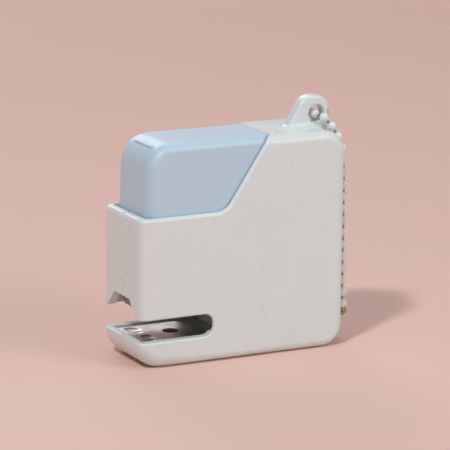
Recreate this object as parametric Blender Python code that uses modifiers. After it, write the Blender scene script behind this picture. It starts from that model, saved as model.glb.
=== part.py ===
"""Square key-chain stapler: two moulded housing halves, a press button that slides straight down,
a steel magazine that dips with it, a rear loading slide, and a ball chain through the lug.

Lengths in the tables below are millimetres. Every place is given as (x, y, z):
x is the distance behind the front face, y is sideways from the middle (the far side is positive)
and z is the height above the table. at() turns that into scene metres, with the origin under the
middle of the housing.
"""

import math

import bmesh
import bpy
from mathutils import Matrix, Vector

# ---------------------------------------------------------------- driving dimensions (millimetres)
MM = 0.001
GAP = 0.3                      # clearance between neighbouring pieces
BEYOND = 20.0                  # how far a cutter runs past what it cuts
FAR = 90.0                     # a place behind and above everything

LENGTH = 58.9
WIDTH = 22.0
HEIGHT = 57.3
EDGE_ROUND = 2.25              # long edges of the housing
BACK_ROUND = 6.0               # profile corners at the back
NOSE_ROUND = 6.4               # underside of the lower jaw
SIDE_WALL = 1.2
SHELL_WALL = 1.8               # top, back and floor
FRONT_WALL = 2.2

RIM_HEIGHT = 39.0              # edge of the cup that the button sinks into
RIM_CORNER_X = 24.3
SLOPE_TOP_X = 36.5             # where the sloping wall edge meets the top face
SLOT_BOTTOM = 7.05             # paper slot
SLOT_TOP = 12.85
SLOT_DEPTH = 20.9
NOTCH_TOP = 17.4               # window in the front wall
NOTCH_TOP_HALF = 4.4
NOTCH_FOOT_HALF = 9.0
SEAM_STEP_Y = 2.2              # the seam steps round the lug on the top face

LUG_FOOT = (45.7, 55.6)         # where its sloping front runs into the housing
LUG_SLOPE_TOP_X = 51.3
LUG_BACK_Z = 50.6
LUG_X = 54.9                   # hole
LUG_Z = 60.3
LUG_HALF = 1.75
LUG_TOP = 65.1
LUG_HOLE = 2.25
LUG_ROUND = 4.3

BUTTON_BACK = 37.9
BUTTON_HALF = 9.5
BUTTON_WALL = 1.4
BUTTON_FOOT = 34.0
BUTTON_FRONT_X = 2.75
BUTTON_DRAFT = 0.6             # how far the front leans back by the top
BUTTON_NOSE_ROUND = 7.0
BUTTON_EDGE_ROUND = 2.0
BLADE_SCREW_Z = 46.0
BLADE_MOUNT_BACK = 11.5
GUIDE_RIB_X = 38.2
GUIDE_RIB_Z = 35.0

PIVOT_X = 54.2                 # magazine trunnions
PIVOT_Z = 17.6
CHANNEL_HALF = 7.3
CHANNEL_WALL = 0.8
CHANNEL_FOOT = 13.9
CHANNEL_TOP = 21.6
NOSE_X = 2.9                   # front face of the magazine's nose
BLADE_X = 4.95
BLADE_THICK = 0.5
BLADE_HALF = 6.1
STAPLE_X = 5.8                 # front of the staple strip
STAPLE_HALF = 6.35
STAPLE_FOOT = 15.0
STAPLE_CROWN = 21.0
STAPLE_WIRE = 0.5
STRIP_LENGTH = 13.0
RAIL_HALF = 5.4
RAIL_FRONT_X = 6.9
ROD_Z = 17.8
CAP_HALF = 6.4                 # loading cap in the back wall
CAP_FOOT = 14.45
CAP_TOP = 21.75

PLATE_TOP = 6.2                # anvil plate
PLATE_HALF = 8.3
PLATE_X = 2.1
PLATE_END = 24.9

CHAIN_DIAMETER = 2.4

WHITE_ABS = (0.86, 0.85, 0.83)
BLUE_ABS = (0.55, 0.68, 0.84)
STEEL = (0.62, 0.61, 0.60)


# ---------------------------------------------------------------- scene and materials
def clear_scene():
    for old in list(bpy.data.objects):
        bpy.data.objects.remove(old)


def collection(name):
    made = bpy.data.collections.new(name)
    bpy.context.scene.collection.children.link(made)
    return made


def material(name, colour, roughness, metallic=0.0):
    made = bpy.data.materials.new(name)
    made.use_nodes = True
    shader = made.node_tree.nodes["Principled BSDF"]
    shader.inputs["Base Color"].default_value = (*colour, 1.0)
    shader.inputs["Roughness"].default_value = roughness
    shader.inputs["Metallic"].default_value = metallic
    made.diffuse_color = (*colour, 1.0)
    return made


def at(x, y, z):
    return Vector(((x - LENGTH / 2) * MM, y * MM, z * MM))


# ---------------------------------------------------------------- outlines
def rounded(corners, steps=5):
    """Outline points from (u, v, radius) corners, each corner an arc of its radius."""
    points = []
    for i, (u, v, radius) in enumerate(corners):
        here = Vector((u, v))
        before = Vector(corners[i - 1][:2]) - here
        after = Vector(corners[(i + 1) % len(corners)][:2]) - here
        if radius == 0:
            points.append(here)
            continue
        half = before.angle(after) / 2
        centre = here + (before.normalized() + after.normalized()).normalized() * radius / math.sin(half)
        start = here + before.normalized() * radius / math.tan(half) - centre
        end = here + after.normalized() * radius / math.tan(half) - centre
        turn = start.angle_signed(end)
        for step in range(steps + 1):
            points.append(centre + Matrix.Rotation(-turn * step / steps, 2) @ start)
    return points


# ---------------------------------------------------------------- solids
AXES = {"x": ((0, 1, 0), (0, 0, 1), (1, 0, 0)),
        "y": ((1, 0, 0), (0, 0, 1), (0, -1, 0)),
        "z": ((1, 0, 0), (0, 1, 0), (0, 0, 1))}


def frame_across(axis, depth):
    """World matrix whose local X and Y are an outline's directions and whose Z runs along axis."""
    u, v, w = (Vector(column) for column in AXES[axis])
    turn = Matrix((u, v, w)).transposed().to_4x4()
    along = Vector([abs(value) for value in w]) * depth * MM
    return Matrix.Translation(at(0, 0, 0) + along) @ turn


def mesh_object(name, mesh, paint=None):
    made = bpy.data.objects.new(name, mesh)
    PARTS.objects.link(made)
    if paint:
        mesh.materials.clear()
        mesh.materials.append(paint)
    return made


def curve_to_mesh(curve_object, paint):
    """Replace a curve object with its own welded mesh in the same place."""
    bpy.context.view_layer.update()
    evaluated = curve_object.evaluated_get(bpy.context.evaluated_depsgraph_get())
    mesh = bpy.data.meshes.new_from_object(evaluated)
    work = bmesh.new()
    work.from_mesh(mesh)
    bmesh.ops.remove_doubles(work, verts=work.verts, dist=0.000005)
    bmesh.ops.recalc_face_normals(work, faces=work.faces)
    work.to_mesh(mesh)
    work.free()
    name = curve_object.name
    place = curve_object.matrix_world.copy()
    bpy.data.objects.remove(curve_object)
    made = mesh_object(name, mesh, paint)
    made.matrix_world = place
    return made


def extruded(name, outline, low, high, across="y", edge_round=0.0, paint=None):
    """A flat outline given thickness from low to high along one axis, with rounded rims."""
    curve = bpy.data.curves.new(name, "CURVE")
    curve.dimensions = "2D"
    curve.fill_mode = "BOTH"
    curve.extrude = ((high - low) / 2 - edge_round) * MM
    curve.bevel_depth = edge_round * MM
    curve.bevel_resolution = 2
    curve.offset = -edge_round * MM
    spline = curve.splines.new("POLY")
    spline.points.add(len(outline) - 1)
    for point, (u, v) in zip(spline.points, outline):
        point.co = (u * MM, v * MM, 0, 1)
    spline.use_cyclic_u = True
    made = bpy.data.objects.new(name, curve)
    PARTS.objects.link(made)
    made.matrix_world = frame_across(across, (low + high) / 2)
    return curve_to_mesh(made, paint)


def box(name, low, high, paint=None):
    work = bmesh.new()
    bmesh.ops.create_cube(work, size=1.0)
    size = [(b - a) * MM for a, b in zip(low, high)]
    bmesh.ops.scale(work, vec=size, verts=work.verts)
    mesh = bpy.data.meshes.new(name)
    work.to_mesh(mesh)
    work.free()
    made = mesh_object(name, mesh, paint)
    made.location = at(*[(a + b) / 2 for a, b in zip(low, high)])
    return made


def rod(name, start, end, radius, sides=20, paint=None):
    """A round bar between two places."""
    start, end = at(*start), at(*end)
    work = bmesh.new()
    bmesh.ops.create_cone(work, cap_ends=True, segments=sides, radius1=radius * MM,
                          radius2=radius * MM, depth=(end - start).length)
    mesh = bpy.data.meshes.new(name)
    work.to_mesh(mesh)
    work.free()
    made = mesh_object(name, mesh, paint)
    made.rotation_euler = (end - start).to_track_quat("Z", "Y").to_euler()
    made.location = (start + end) / 2
    return made


def ball(name, place, half_sizes):
    """A ball stretched to three half sizes."""
    work = bmesh.new()
    bmesh.ops.create_uvsphere(work, u_segments=20, v_segments=10, radius=1.0)
    bmesh.ops.scale(work, vec=[size * MM for size in half_sizes], verts=work.verts)
    mesh = bpy.data.meshes.new(name)
    work.to_mesh(mesh)
    work.free()
    made = mesh_object(name, mesh)
    made.location = at(*place)
    return made


def turned(name, profile, place, direction, paint=None, steps=16):
    """A turned piece: profile is (radius, distance) from its far end to its near end."""
    mesh = bpy.data.meshes.new(name)
    points = [(radius * MM, 0, distance * MM) for radius, distance in profile]
    mesh.from_pydata(points, [(i, i + 1) for i in range(len(points) - 1)], [])
    made = mesh_object(name, mesh, paint)
    screw = made.modifiers.new("Turn", "SCREW")
    screw.axis = "Z"
    screw.steps = steps
    screw.render_steps = steps
    screw.use_merge_vertices = True
    screw.merge_threshold = 0.00001
    screw.use_smooth_shade = False
    made.rotation_euler = Vector(direction).to_track_quat("Z", "Y").to_euler()
    made.location = at(*place)
    return made


def tube(name, route, diameter, paint, resolution=2):
    """A wire or chain along a list of places in scene metres."""
    curve = bpy.data.curves.new(name, "CURVE")
    curve.dimensions = "3D"
    curve.bevel_depth = diameter / 2 * MM
    curve.bevel_resolution = resolution
    curve.use_fill_caps = True
    spline = curve.splines.new("POLY")
    spline.points.add(len(route) - 1)
    for point, place in zip(spline.points, route):
        point.co = (*place, 1)
    curve.materials.append(paint)
    made = bpy.data.objects.new(name, curve)
    PARTS.objects.link(made)
    return made


def coil_spring(name, foot, direction, length, radius, wire, turns, paint):
    """A compression spring: a helix from foot along direction, with a close turn at each end."""
    axis = Vector(direction)
    side = axis.orthogonal().normalized()
    other = axis.cross(side)
    steps_per_turn = 10
    count = turns * steps_per_turn
    free = length - 2 * wire
    route = []
    for step in range(count + 1):
        along = step / count
        eased = min(max((along * turns - 0.8) / (turns - 1.6), 0), 1)
        angle = 2 * math.pi * turns * along
        offset = side * math.cos(angle) * radius + other * math.sin(angle) * radius
        rise = wire * (0.5 + along) + free * eased
        route.append(at(*foot) + (axis * rise + offset) * MM)
    return tube(name, route, wire, paint)


# ---------------------------------------------------------------- cutting, joining, placing
def as_cutter(cutter):
    PARTS.objects.unlink(cutter)
    CUTTERS.objects.link(cutter)
    cutter.hide_render = True
    cutter.display_type = "WIRE"


def combine(target, operation, *others):
    for other in others:
        change = target.modifiers.new(operation.title(), "BOOLEAN")
        change.operation = operation
        change.solver = "EXACT"
        change.object = other
        if other.name in PARTS.objects:
            as_cutter(other)


def cut(target, *cutters):
    combine(target, "DIFFERENCE", *cutters)


def join(target, *others):
    combine(target, "UNION", *others)


def set_origin(piece, place):
    """Move a piece's origin to a place, leaving its shape where it is."""
    bpy.context.view_layer.update()
    shift = at(*place) - piece.matrix_world.translation
    move = piece.matrix_world.to_3x3().inverted() @ shift
    piece.data.transform(Matrix.Translation(-move))
    piece.location = piece.location + shift


def hang_from(empty, *pieces):
    """Parent pieces to an empty without moving them."""
    bpy.context.view_layer.update()
    for piece in pieces:
        piece.parent = empty
        piece.matrix_parent_inverse = empty.matrix_world.inverted()


def joint_empty(name, place):
    empty = bpy.data.objects.new(name, None)
    empty.empty_display_size = 4 * MM
    PARTS.objects.link(empty)
    empty.location = at(*place)
    return empty


# ---------------------------------------------------------------- housing
SCREWS = {"housing_screw_top": (47.5, 45.0),
          "housing_screw_rear": (50.5, 7.0),
          "housing_screw_base": (28.5, 5.2)}
SCREW_SHANK = 1.1
SCREW_HEAD = 2.2
SCREW_SEAT_Y = 8.7             # depth of the screw recesses in the far half
BOSS_RADIUS = 2.8
TRUNNION_RADIUS = 1.2


def housing_outline():
    return rounded([(0, 0, NOSE_ROUND), (LENGTH, 0, BACK_ROUND),
                    (LENGTH, HEIGHT, BACK_ROUND), (0, HEIGHT, 3.0)], steps=6)


def lug_outline():
    return rounded([(*LUG_FOOT, 0), (LENGTH, LUG_BACK_Z, 0), (LENGTH, LUG_TOP, LUG_ROUND),
                    (LUG_SLOPE_TOP_X, LUG_TOP, LUG_ROUND)], steps=6)


def cavity_cutters(tag):
    """The hollow inside: button chamber, rear chamber, and the pocket under the anvil plate."""
    back = LENGTH - SHELL_WALL
    roof = HEIGHT - SHELL_WALL
    rib_back = GUIDE_RIB_X + 1.2
    chamber = extruded(tag + "_chamber", rounded([
        (FRONT_WALL, SLOT_BOTTOM + 1, 0), (PLATE_END + GAP, SLOT_BOTTOM + 1, 0),
        (PLATE_END + GAP, SHELL_WALL, 0), (back, SHELL_WALL, BACK_ROUND - SHELL_WALL),
        (back, roof, BACK_ROUND - SHELL_WALL), (rib_back, roof, 0), (rib_back, GUIDE_RIB_Z, 0),
        (GUIDE_RIB_X, GUIDE_RIB_Z, 0), (GUIDE_RIB_X, HEIGHT + BEYOND, 0),
        (FRONT_WALL, HEIGHT + BEYOND, 0)], steps=4),
        -WIDTH / 2 + SIDE_WALL, WIDTH / 2 - SIDE_WALL)
    pocket = box(tag + "_plate_pocket", (PLATE_X - GAP, -PLATE_HALF - GAP, PLATE_TOP - 0.8 - GAP),
                 (PLATE_END + 2 * GAP, PLATE_HALF + GAP, SLOT_BOTTOM + 2))
    hollow = box(tag + "_base_hollow", (4.5, -6.8, SHELL_WALL), (PLATE_END + 2 * GAP, 6.8, PLATE_TOP))
    return chamber, pocket, hollow


def opening_cutters(tag):
    """Paper slot, sloping thumb opening, front window and the rear loading opening."""
    slot_round = 2.6
    slot = extruded(tag + "_paper_slot", rounded([
        (-BEYOND, SLOT_BOTTOM, 0), (SLOT_DEPTH, SLOT_BOTTOM, slot_round),
        (SLOT_DEPTH, SLOT_TOP, slot_round), (-BEYOND, SLOT_TOP, 0)], steps=5), -BEYOND, BEYOND)
    slope = (SLOPE_TOP_X - RIM_CORNER_X) / (HEIGHT - RIM_HEIGHT)
    thumb = extruded(tag + "_thumb_opening", rounded([
        (-BEYOND, RIM_HEIGHT, 0), (RIM_CORNER_X, RIM_HEIGHT, 5.0),
        (SLOPE_TOP_X, HEIGHT, 0), (SLOPE_TOP_X + BEYOND * slope, HEIGHT + BEYOND, 0),
        (-BEYOND, HEIGHT + BEYOND, 0)], steps=5), -BEYOND, BEYOND)
    window = extruded(tag + "_front_window", rounded([
        (-NOTCH_FOOT_HALF - 0.3, SLOT_TOP - 1, 0), (NOTCH_FOOT_HALF + 0.3, SLOT_TOP - 1, 0),
        (NOTCH_TOP_HALF, NOTCH_TOP, 0.8), (-NOTCH_TOP_HALF, NOTCH_TOP, 0.8)], steps=3),
        -1.0, FRONT_WALL + 0.5, across="x")
    loading = box(tag + "_loading_opening", (LENGTH - SHELL_WALL - 0.5, -CAP_HALF - 0.35, CAP_FOOT - 0.35),
                  (LENGTH + 1, CAP_HALF + 0.35, CAP_TOP + 0.85))
    return slot, thumb, window, loading


def screw_cutters(tag):
    for name, (x, z) in SCREWS.items():
        yield rod(f"{tag}_{name}_hole", (x, -8.5, z), (x, BEYOND, z), SCREW_SHANK + GAP, sides=14)
        yield rod(f"{tag}_{name}_seat", (x, SCREW_SEAT_Y, z), (x, BEYOND, z), SCREW_HEAD + GAP, sides=18)


def half_space(side):
    """The space that one housing half fills: the seam steps round the lug on the top face."""
    gap = GAP / 2
    step_foot = HEIGHT - SHELL_WALL
    if side == "right":
        keep = box("right_half_space", (-BEYOND, -BEYOND, -BEYOND), (FAR, -gap, FAR))
        join(keep, box("right_seam_step", (SLOPE_TOP_X, -BEYOND, step_foot), (FAR, SEAM_STEP_Y - gap, FAR)))
        return keep
    keep = box("left_half_space", (-BEYOND, gap, -BEYOND), (FAR, BEYOND, FAR))
    cut(keep, box("left_seam_step", (SLOPE_TOP_X - GAP, -BEYOND, step_foot - GAP),
                  (FAR + BEYOND, SEAM_STEP_Y + gap, FAR + BEYOND)))
    return keep


def make_housing_half(side):
    piece = extruded("housing_" + side, housing_outline(), -WIDTH / 2, WIDTH / 2,
                     edge_round=EDGE_ROUND, paint=PAINT["white_abs"])
    if side == "right":
        join(piece, extruded("lug_blank", lug_outline(), -LUG_HALF, LUG_HALF, edge_round=0.7))
    cut(piece, *cavity_cutters(side))
    bosses = [rod(f"{side}_{name}_boss", (x, -WIDTH / 2 + 0.7, z), (x, WIDTH / 2 - 0.7, z), BOSS_RADIUS)
              for name, (x, z) in SCREWS.items()]
    sign = -1 if side == "right" else 1
    inner = sign * (CHANNEL_HALF + 0.6)
    outer = sign * (WIDTH / 2 - 0.7)
    bosses.append(rod(side + "_trunnion_boss", (PIVOT_X, inner, PIVOT_Z), (PIVOT_X, outer, PIVOT_Z), 2.6))
    join(piece, *bosses)
    cut(piece, *opening_cutters(side), *screw_cutters(side))
    cut(piece, rod(side + "_trunnion_hole", (PIVOT_X, sign * CHANNEL_HALF, PIVOT_Z),
                   (PIVOT_X, sign * (WIDTH / 2 - 1.1), PIVOT_Z), TRUNNION_RADIUS + GAP, sides=16))
    if side == "right":
        cut(piece, rod("lug_hole", (LUG_X, -BEYOND, LUG_Z), (LUG_X, BEYOND, LUG_Z), LUG_HOLE, sides=28))
    combine(piece, "INTERSECT", half_space(side))
    set_origin(piece, (LENGTH / 2, 0, 0))
    return piece


def make_housing_screws():
    for name, (x, z) in SCREWS.items():
        head_y = SCREW_SEAT_Y + GAP
        profile = [(0, 1.5), (SCREW_HEAD * 0.8, 1.5), (SCREW_HEAD, 0.9), (SCREW_HEAD, 0),
                   (SCREW_SHANK, 0), (SCREW_SHANK, -15.6), (0, -16.7)]
        turned(name, profile, (x, head_y, z), (0, 1, 0), PAINT["screw_steel"])


# ---------------------------------------------------------------- anvil
DIMPLE_X = 5.4
DIMPLE_Y = 4.1
PLATE_HOLE_X = 13.9


def make_anvil_plate():
    corner = 0.8
    piece = extruded("anvil_plate", rounded([
        (PLATE_X, -PLATE_HALF, corner), (PLATE_END, -PLATE_HALF, corner),
        (PLATE_END, PLATE_HALF, corner), (PLATE_X, PLATE_HALF, corner)], steps=2),
        PLATE_TOP - 0.8, PLATE_TOP, across="z", paint=PAINT["anvil_steel"])
    for side in (-1, 1):
        cut(piece, ball(f"forming_groove_{side + 2}", (DIMPLE_X, side * DIMPLE_Y, PLATE_TOP + 0.25),
                        (1.25, 2.9, 0.7)))
    cut(piece, rod("plate_hole", (PLATE_HOLE_X, 0, 0), (PLATE_HOLE_X, 0, 20), 2.15, sides=24))
    cut(piece, rod("plate_pin_hole", (4.0, -1.0, 0), (4.0, -1.0, 20), 0.35, sides=10))
    set_origin(piece, (PLATE_X, 0, PLATE_TOP))


# ---------------------------------------------------------------- press button and blade
def make_button_hook(side):
    """One of the two small hooks that stop the button at the guide rib."""
    inner, outer = sorted((side * 7.7, side * 9.2))
    return box(f"button_hook_{side + 2}", (BUTTON_BACK - 1.0, inner, BUTTON_FOOT - 0.4),
               (GUIDE_RIB_X + 0.8, outer, GUIDE_RIB_Z - GAP))


def make_press_button():
    front, wall, roof = BUTTON_FRONT_X, BUTTON_WALL, HEIGHT - BUTTON_WALL
    piece = extruded("press_button", rounded([
        (front, BUTTON_FOOT, 0), (BUTTON_BACK, BUTTON_FOOT, 0), (BUTTON_BACK, HEIGHT, 0),
        (front + BUTTON_DRAFT, HEIGHT + 0.35, BUTTON_NOSE_ROUND)], steps=8), -BUTTON_HALF, BUTTON_HALF,
        edge_round=BUTTON_EDGE_ROUND, paint=PAINT["blue_abs"])
    hollow = rounded([
        (front + wall, BUTTON_FOOT - BEYOND, 0), (BUTTON_BACK - wall, BUTTON_FOOT - BEYOND, 0),
        (BUTTON_BACK - wall, roof, 1.0),
        (front + BUTTON_DRAFT + wall, roof, BUTTON_NOSE_ROUND - wall)], steps=6)
    cut(piece, extruded("button_hollow", hollow, -BUTTON_HALF + wall, BUTTON_HALF - wall))
    mount = box("blade_mount", (BLADE_X + BLADE_THICK + GAP, -5.0, 40.0),
                (BLADE_MOUNT_BACK, 5.0, roof + 0.4))
    socket = rod("spring_socket", (PRESS_SPRING_X, 0, 50.0), (PRESS_SPRING_X, 0, roof + 0.4), 5.6, sides=24)
    join(piece, mount, socket, make_button_hook(-1), make_button_hook(1))
    cut(piece, rod("socket_bore", (PRESS_SPRING_X, 0, 40.0), (PRESS_SPRING_X, 0, 54.0), 4.5, sides=24),
        rod("blade_screw_bore", (BLADE_X, 0, BLADE_SCREW_Z), (BLADE_MOUNT_BACK + 1, 0, BLADE_SCREW_Z),
            SCREW_SHANK + GAP, sides=14),
        rod("blade_screw_seat", (BLADE_MOUNT_BACK - 1.1, 0, BLADE_SCREW_Z),
            (BLADE_MOUNT_BACK + 1, 0, BLADE_SCREW_Z), 2.0 + GAP, sides=16))
    set_origin(piece, ((front + BUTTON_BACK) / 2, 0, HEIGHT))
    return piece


def make_driver_blade():
    foot = CHANNEL_TOP - 0.2
    piece = box("driver_blade", (BLADE_X, -BLADE_HALF, foot), (BLADE_X + BLADE_THICK, BLADE_HALF, 50.0),
                paint=PAINT["blade_steel"])
    cut(piece, rod("blade_hole", (BLADE_X - 1, 0, BLADE_SCREW_Z), (BLADE_X + 2, 0, BLADE_SCREW_Z),
                   SCREW_SHANK + GAP, sides=14))
    set_origin(piece, (BLADE_X, 0, foot))
    profile = [(0, 1.1), (1.6, 1.1), (2.0, 0.6), (2.0, 0), (SCREW_SHANK, 0), (SCREW_SHANK, -5.9), (0, -5.9)]
    screw = turned("blade_screw", profile, (BLADE_MOUNT_BACK - 0.8, 0, BLADE_SCREW_Z), (1, 0, 0),
                   PAINT["screw_steel"])
    return piece, screw


# ---------------------------------------------------------------- magazine
PRESS_SPRING_X = 29.5
LIFT_SPRING_X = 36.0
SEAT_TOP = CHANNEL_TOP + GAP + 1.6


def make_magazine_channel():
    side_view = rounded([
        (NOSE_X, CHANNEL_FOOT, 1.0), (PIVOT_X + 2.4, CHANNEL_FOOT, 2.3),
        (PIVOT_X + 2.4, CHANNEL_TOP, 2.3), (NOSE_X, CHANNEL_TOP, 0.6)], steps=3)
    piece = extruded("magazine_channel", side_view, -CHANNEL_HALF, CHANNEL_HALF,
                     paint=PAINT["magazine_steel"])
    wall = CHANNEL_WALL
    cut(piece, box("channel_hollow", (NOSE_X + 0.7, -CHANNEL_HALF + wall, CHANNEL_FOOT + wall),
                   (PIVOT_X + 10, CHANNEL_HALF - wall, CHANNEL_TOP + 10)),
        box("staple_exit", (NOSE_X + 0.8, -STAPLE_HALF - 0.05, CHANNEL_FOOT - 5),
            (RAIL_FRONT_X, STAPLE_HALF + 0.05, STAPLE_CROWN - 1)))
    for side in (-1, 1):
        cut(piece, extruded(f"nose_corner_{side + 2}", [
            (side * 4.7, CHANNEL_FOOT - 1), (side * 12, CHANNEL_FOOT - 1),
            (side * 12, 17.0), (side * 5.0, 14.9)], NOSE_X - 1, 4.2, across="x"))
    cut(piece, rod("ear_hole", (PIVOT_X, -BEYOND, PIVOT_Z), (PIVOT_X, BEYOND, PIVOT_Z),
                   TRUNNION_RADIUS + GAP, sides=16))
    set_origin(piece, (PIVOT_X, 0, PIVOT_Z))
    return piece


def make_magazine_pins():
    pins = []
    for side, sign in (("right", -1), ("left", 1)):
        inner = sign * (CHANNEL_HALF - CHANNEL_WALL + 0.1)
        outer = sign * (WIDTH / 2 - 1.1 - GAP)
        pins.append(rod("magazine_pin_" + side, (PIVOT_X, inner, PIVOT_Z), (PIVOT_X, outer, PIVOT_Z),
                        TRUNNION_RADIUS, sides=16, paint=PAINT["screw_steel"]))
    return pins


def make_staple_rail():
    """The narrow inner channel that the staples ride astride."""
    piece = box("staple_rail", (RAIL_FRONT_X + GAP, -RAIL_HALF, STAPLE_FOOT),
                (PIVOT_X + 1.5, RAIL_HALF, 20.2), paint=PAINT["magazine_steel"])
    cut(piece, box("rail_hollow", (0, -RAIL_HALF + 0.6, STAPLE_FOOT + 0.5), (90, RAIL_HALF - 0.6, 40)))
    set_origin(piece, (PIVOT_X, 0, STAPLE_FOOT))
    return piece


def make_staple_strip():
    piece = box("staple_strip", (STAPLE_X, -STAPLE_HALF, STAPLE_FOOT),
                (STAPLE_X + STRIP_LENGTH, STAPLE_HALF, STAPLE_CROWN), paint=PAINT["staple_wire"])
    inner = STAPLE_HALF - STAPLE_WIRE
    cut(piece, box("strip_hollow", (0, -inner, 0), (40, inner, STAPLE_CROWN - STAPLE_WIRE)))
    set_origin(piece, (STAPLE_X, 0, STAPLE_CROWN))
    return piece


def make_spring_seat():
    piece = box("spring_seat", (PRESS_SPRING_X - 5, -CHANNEL_HALF, CHANNEL_TOP + GAP),
                (PRESS_SPRING_X + 5, CHANNEL_HALF, SEAT_TOP), paint=PAINT["grey_abs"])
    join(piece, rod("seat_spigot", (PRESS_SPRING_X, 0, SEAT_TOP - 0.5),
                    (PRESS_SPRING_X, 0, SEAT_TOP + 2.2), 2.6))
    set_origin(piece, (PRESS_SPRING_X, 0, CHANNEL_TOP))
    return piece


# ---------------------------------------------------------------- loading slide and pusher
PUSHER_X = STAPLE_X + STRIP_LENGTH + GAP
PUSHER_LENGTH = 7.0
CAP_X = PIVOT_X + 2.4 + GAP


def make_loading_pull():
    """The cap in the back wall that draws the rod and pusher out for loading."""
    piece = extruded("loading_pull", rounded([
        (-CAP_HALF, CAP_FOOT, 1.0), (CAP_HALF, CAP_FOOT, 1.0),
        (CAP_HALF, CAP_TOP, 1.0), (-CAP_HALF, CAP_TOP, 1.0)], steps=3),
        CAP_X, LENGTH, across="x", paint=PAINT["blue_abs"])
    middle = (CAP_FOOT + CAP_TOP) / 2
    cut(piece, rod("finger_groove", (LENGTH + 1.2, -4.4, middle), (LENGTH + 1.2, 4.4, middle), 1.9, sides=24),
        rod("rod_socket", (CAP_X - 1, 0, ROD_Z), (CAP_X + 0.9, 0, ROD_Z), 0.9 + GAP, sides=14))
    set_origin(piece, (LENGTH, 0, middle))
    return piece


def make_guide_rod():
    return rod("guide_rod", (PUSHER_X + 1.2, 0, ROD_Z), (CAP_X + 0.6, 0, ROD_Z), 0.9, sides=12,
               paint=PAINT["blade_steel"])


def make_staple_pusher():
    """A block inside the rail whose top bar reaches over it to the staples."""
    piece = box("staple_pusher", (PUSHER_X, -RAIL_HALF + 0.6 + GAP, STAPLE_FOOT + 0.5 + GAP),
                (PUSHER_X + PUSHER_LENGTH, RAIL_HALF - 0.6 - GAP, 20.8), paint=PAINT["grey_abs"])
    join(piece, box("pusher_bar", (PUSHER_X, -6.1, 20.5), (PUSHER_X + PUSHER_LENGTH, 6.1, 21.3)))
    cut(piece, rod("pusher_bore", (PUSHER_X - 1.0, 0, ROD_Z), (PUSHER_X + 12, 0, ROD_Z), 0.9 + GAP, sides=14))
    set_origin(piece, (PUSHER_X, 0, ROD_Z))
    return piece


# ---------------------------------------------------------------- ball chain
CONNECTOR_TOP = (60.6, -7.6, 9.2)
CONNECTOR_FOOT = (60.65, -3.0, 2.1)
CHAIN_ROUTE = [                # from the connector's upper end, through the lug, to its lower end
    (60.45, -7.45, 10.4), (60.3, -7.4, 16.0), (60.25, -7.35, 26.0), (60.25, -7.25, 36.0),
    (60.25, -7.1, 43.5), (60.25, -6.8, 47.2), (60.3, -5.95, 50.35), (60.15, -4.9, 53.4),
    (58.95, -4.25, 55.95), (57.6, -3.9, 57.9), (56.45, -3.5, 59.25), (55.3, -2.0, 59.95),
    (54.95, 0.0, 60.1), (55.3, 2.0, 59.95), (56.45, 3.5, 59.25), (57.6, 3.9, 57.9),
    (58.95, 4.25, 55.95), (60.15, 4.9, 53.4), (60.3, 5.95, 50.35), (60.25, 6.8, 47.2),
    (60.25, 7.1, 43.5), (60.25, 7.25, 36.0), (60.25, 7.35, 26.0), (60.3, 7.5, 16.0),
    (60.6, 7.0, 9.0), (60.9, 4.9, 4.4), (61.0, 2.2, 2.0), (60.95, -0.3, 1.45), (60.75, -2.1, 1.6)]


def smooth_route(places, spacing):
    """Even steps along a smooth (Catmull-Rom) curve through the places, in scene metres."""
    keys = [at(*place) for place in places]
    keys = [2 * keys[0] - keys[1]] + keys + [2 * keys[-1] - keys[-2]]
    fine = []
    for i in range(1, len(keys) - 2):
        a, b, c, d = keys[i - 1:i + 3]
        for step in range(12):
            t = step / 12
            fine.append(0.5 * (2 * b + (c - a) * t + (2 * a - 5 * b + 4 * c - d) * t ** 2
                               + (3 * b - a - 3 * c + d) * t ** 3))
    fine.append(keys[-2])
    total = sum((q - p).length for p, q in zip(fine, fine[1:]))
    count = round(total / (spacing * MM))
    route, walked, index = [fine[0]], 0.0, 0
    for step in range(1, count):
        target = total * step / count
        while walked + (fine[index + 1] - fine[index]).length < target:
            walked += (fine[index + 1] - fine[index]).length
            index += 1
        part = (target - walked) / (fine[index + 1] - fine[index]).length
        route.append(fine[index].lerp(fine[index + 1], part))
    route.append(fine[-1])
    return route


def make_ball_chain():
    route = smooth_route(CHAIN_ROUTE, CHAIN_DIAMETER * 1.6)
    chain = tube("ball_chain", route, CHAIN_DIAMETER, PAINT["chain_paint"])
    top, foot = Vector(CONNECTOR_TOP), Vector(CONNECTOR_FOOT)
    length = (top - foot).length
    radius = 1.6
    profile = [(0, length / 2), (1.0, length / 2), (radius, length / 2 - 0.7),
               (radius, 0.7 - length / 2), (1.0, -length / 2), (0, -length / 2)]
    connector = turned("chain_connector", profile, (top + foot) / 2, top - foot, PAINT["chain_paint"])
    return chain, connector


# ---------------------------------------------------------------- assembly
clear_scene()
PARTS = collection("keychain_stapler")
CUTTERS = collection("cutters")
PAINT = {"white_abs": material("white_abs", WHITE_ABS, 0.30),
         "blue_abs": material("blue_abs", BLUE_ABS, 0.25),
         "grey_abs": material("grey_abs", (0.30, 0.31, 0.33), 0.45),
         "anvil_steel": material("anvil_steel", STEEL, 0.32, 1.0),
         "magazine_steel": material("magazine_steel", (0.55, 0.53, 0.52), 0.35, 1.0),
         "blade_steel": material("blade_steel", (0.45, 0.45, 0.47), 0.30, 1.0),
         "spring_steel": material("spring_steel", (0.50, 0.50, 0.52), 0.35, 1.0),
         "screw_steel": material("screw_steel", (0.58, 0.58, 0.60), 0.30, 1.0),
         "staple_wire": material("staple_wire", (0.68, 0.68, 0.70), 0.28, 1.0),
         "chain_paint": material("chain_paint", WHITE_ABS, 0.35)}

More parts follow.
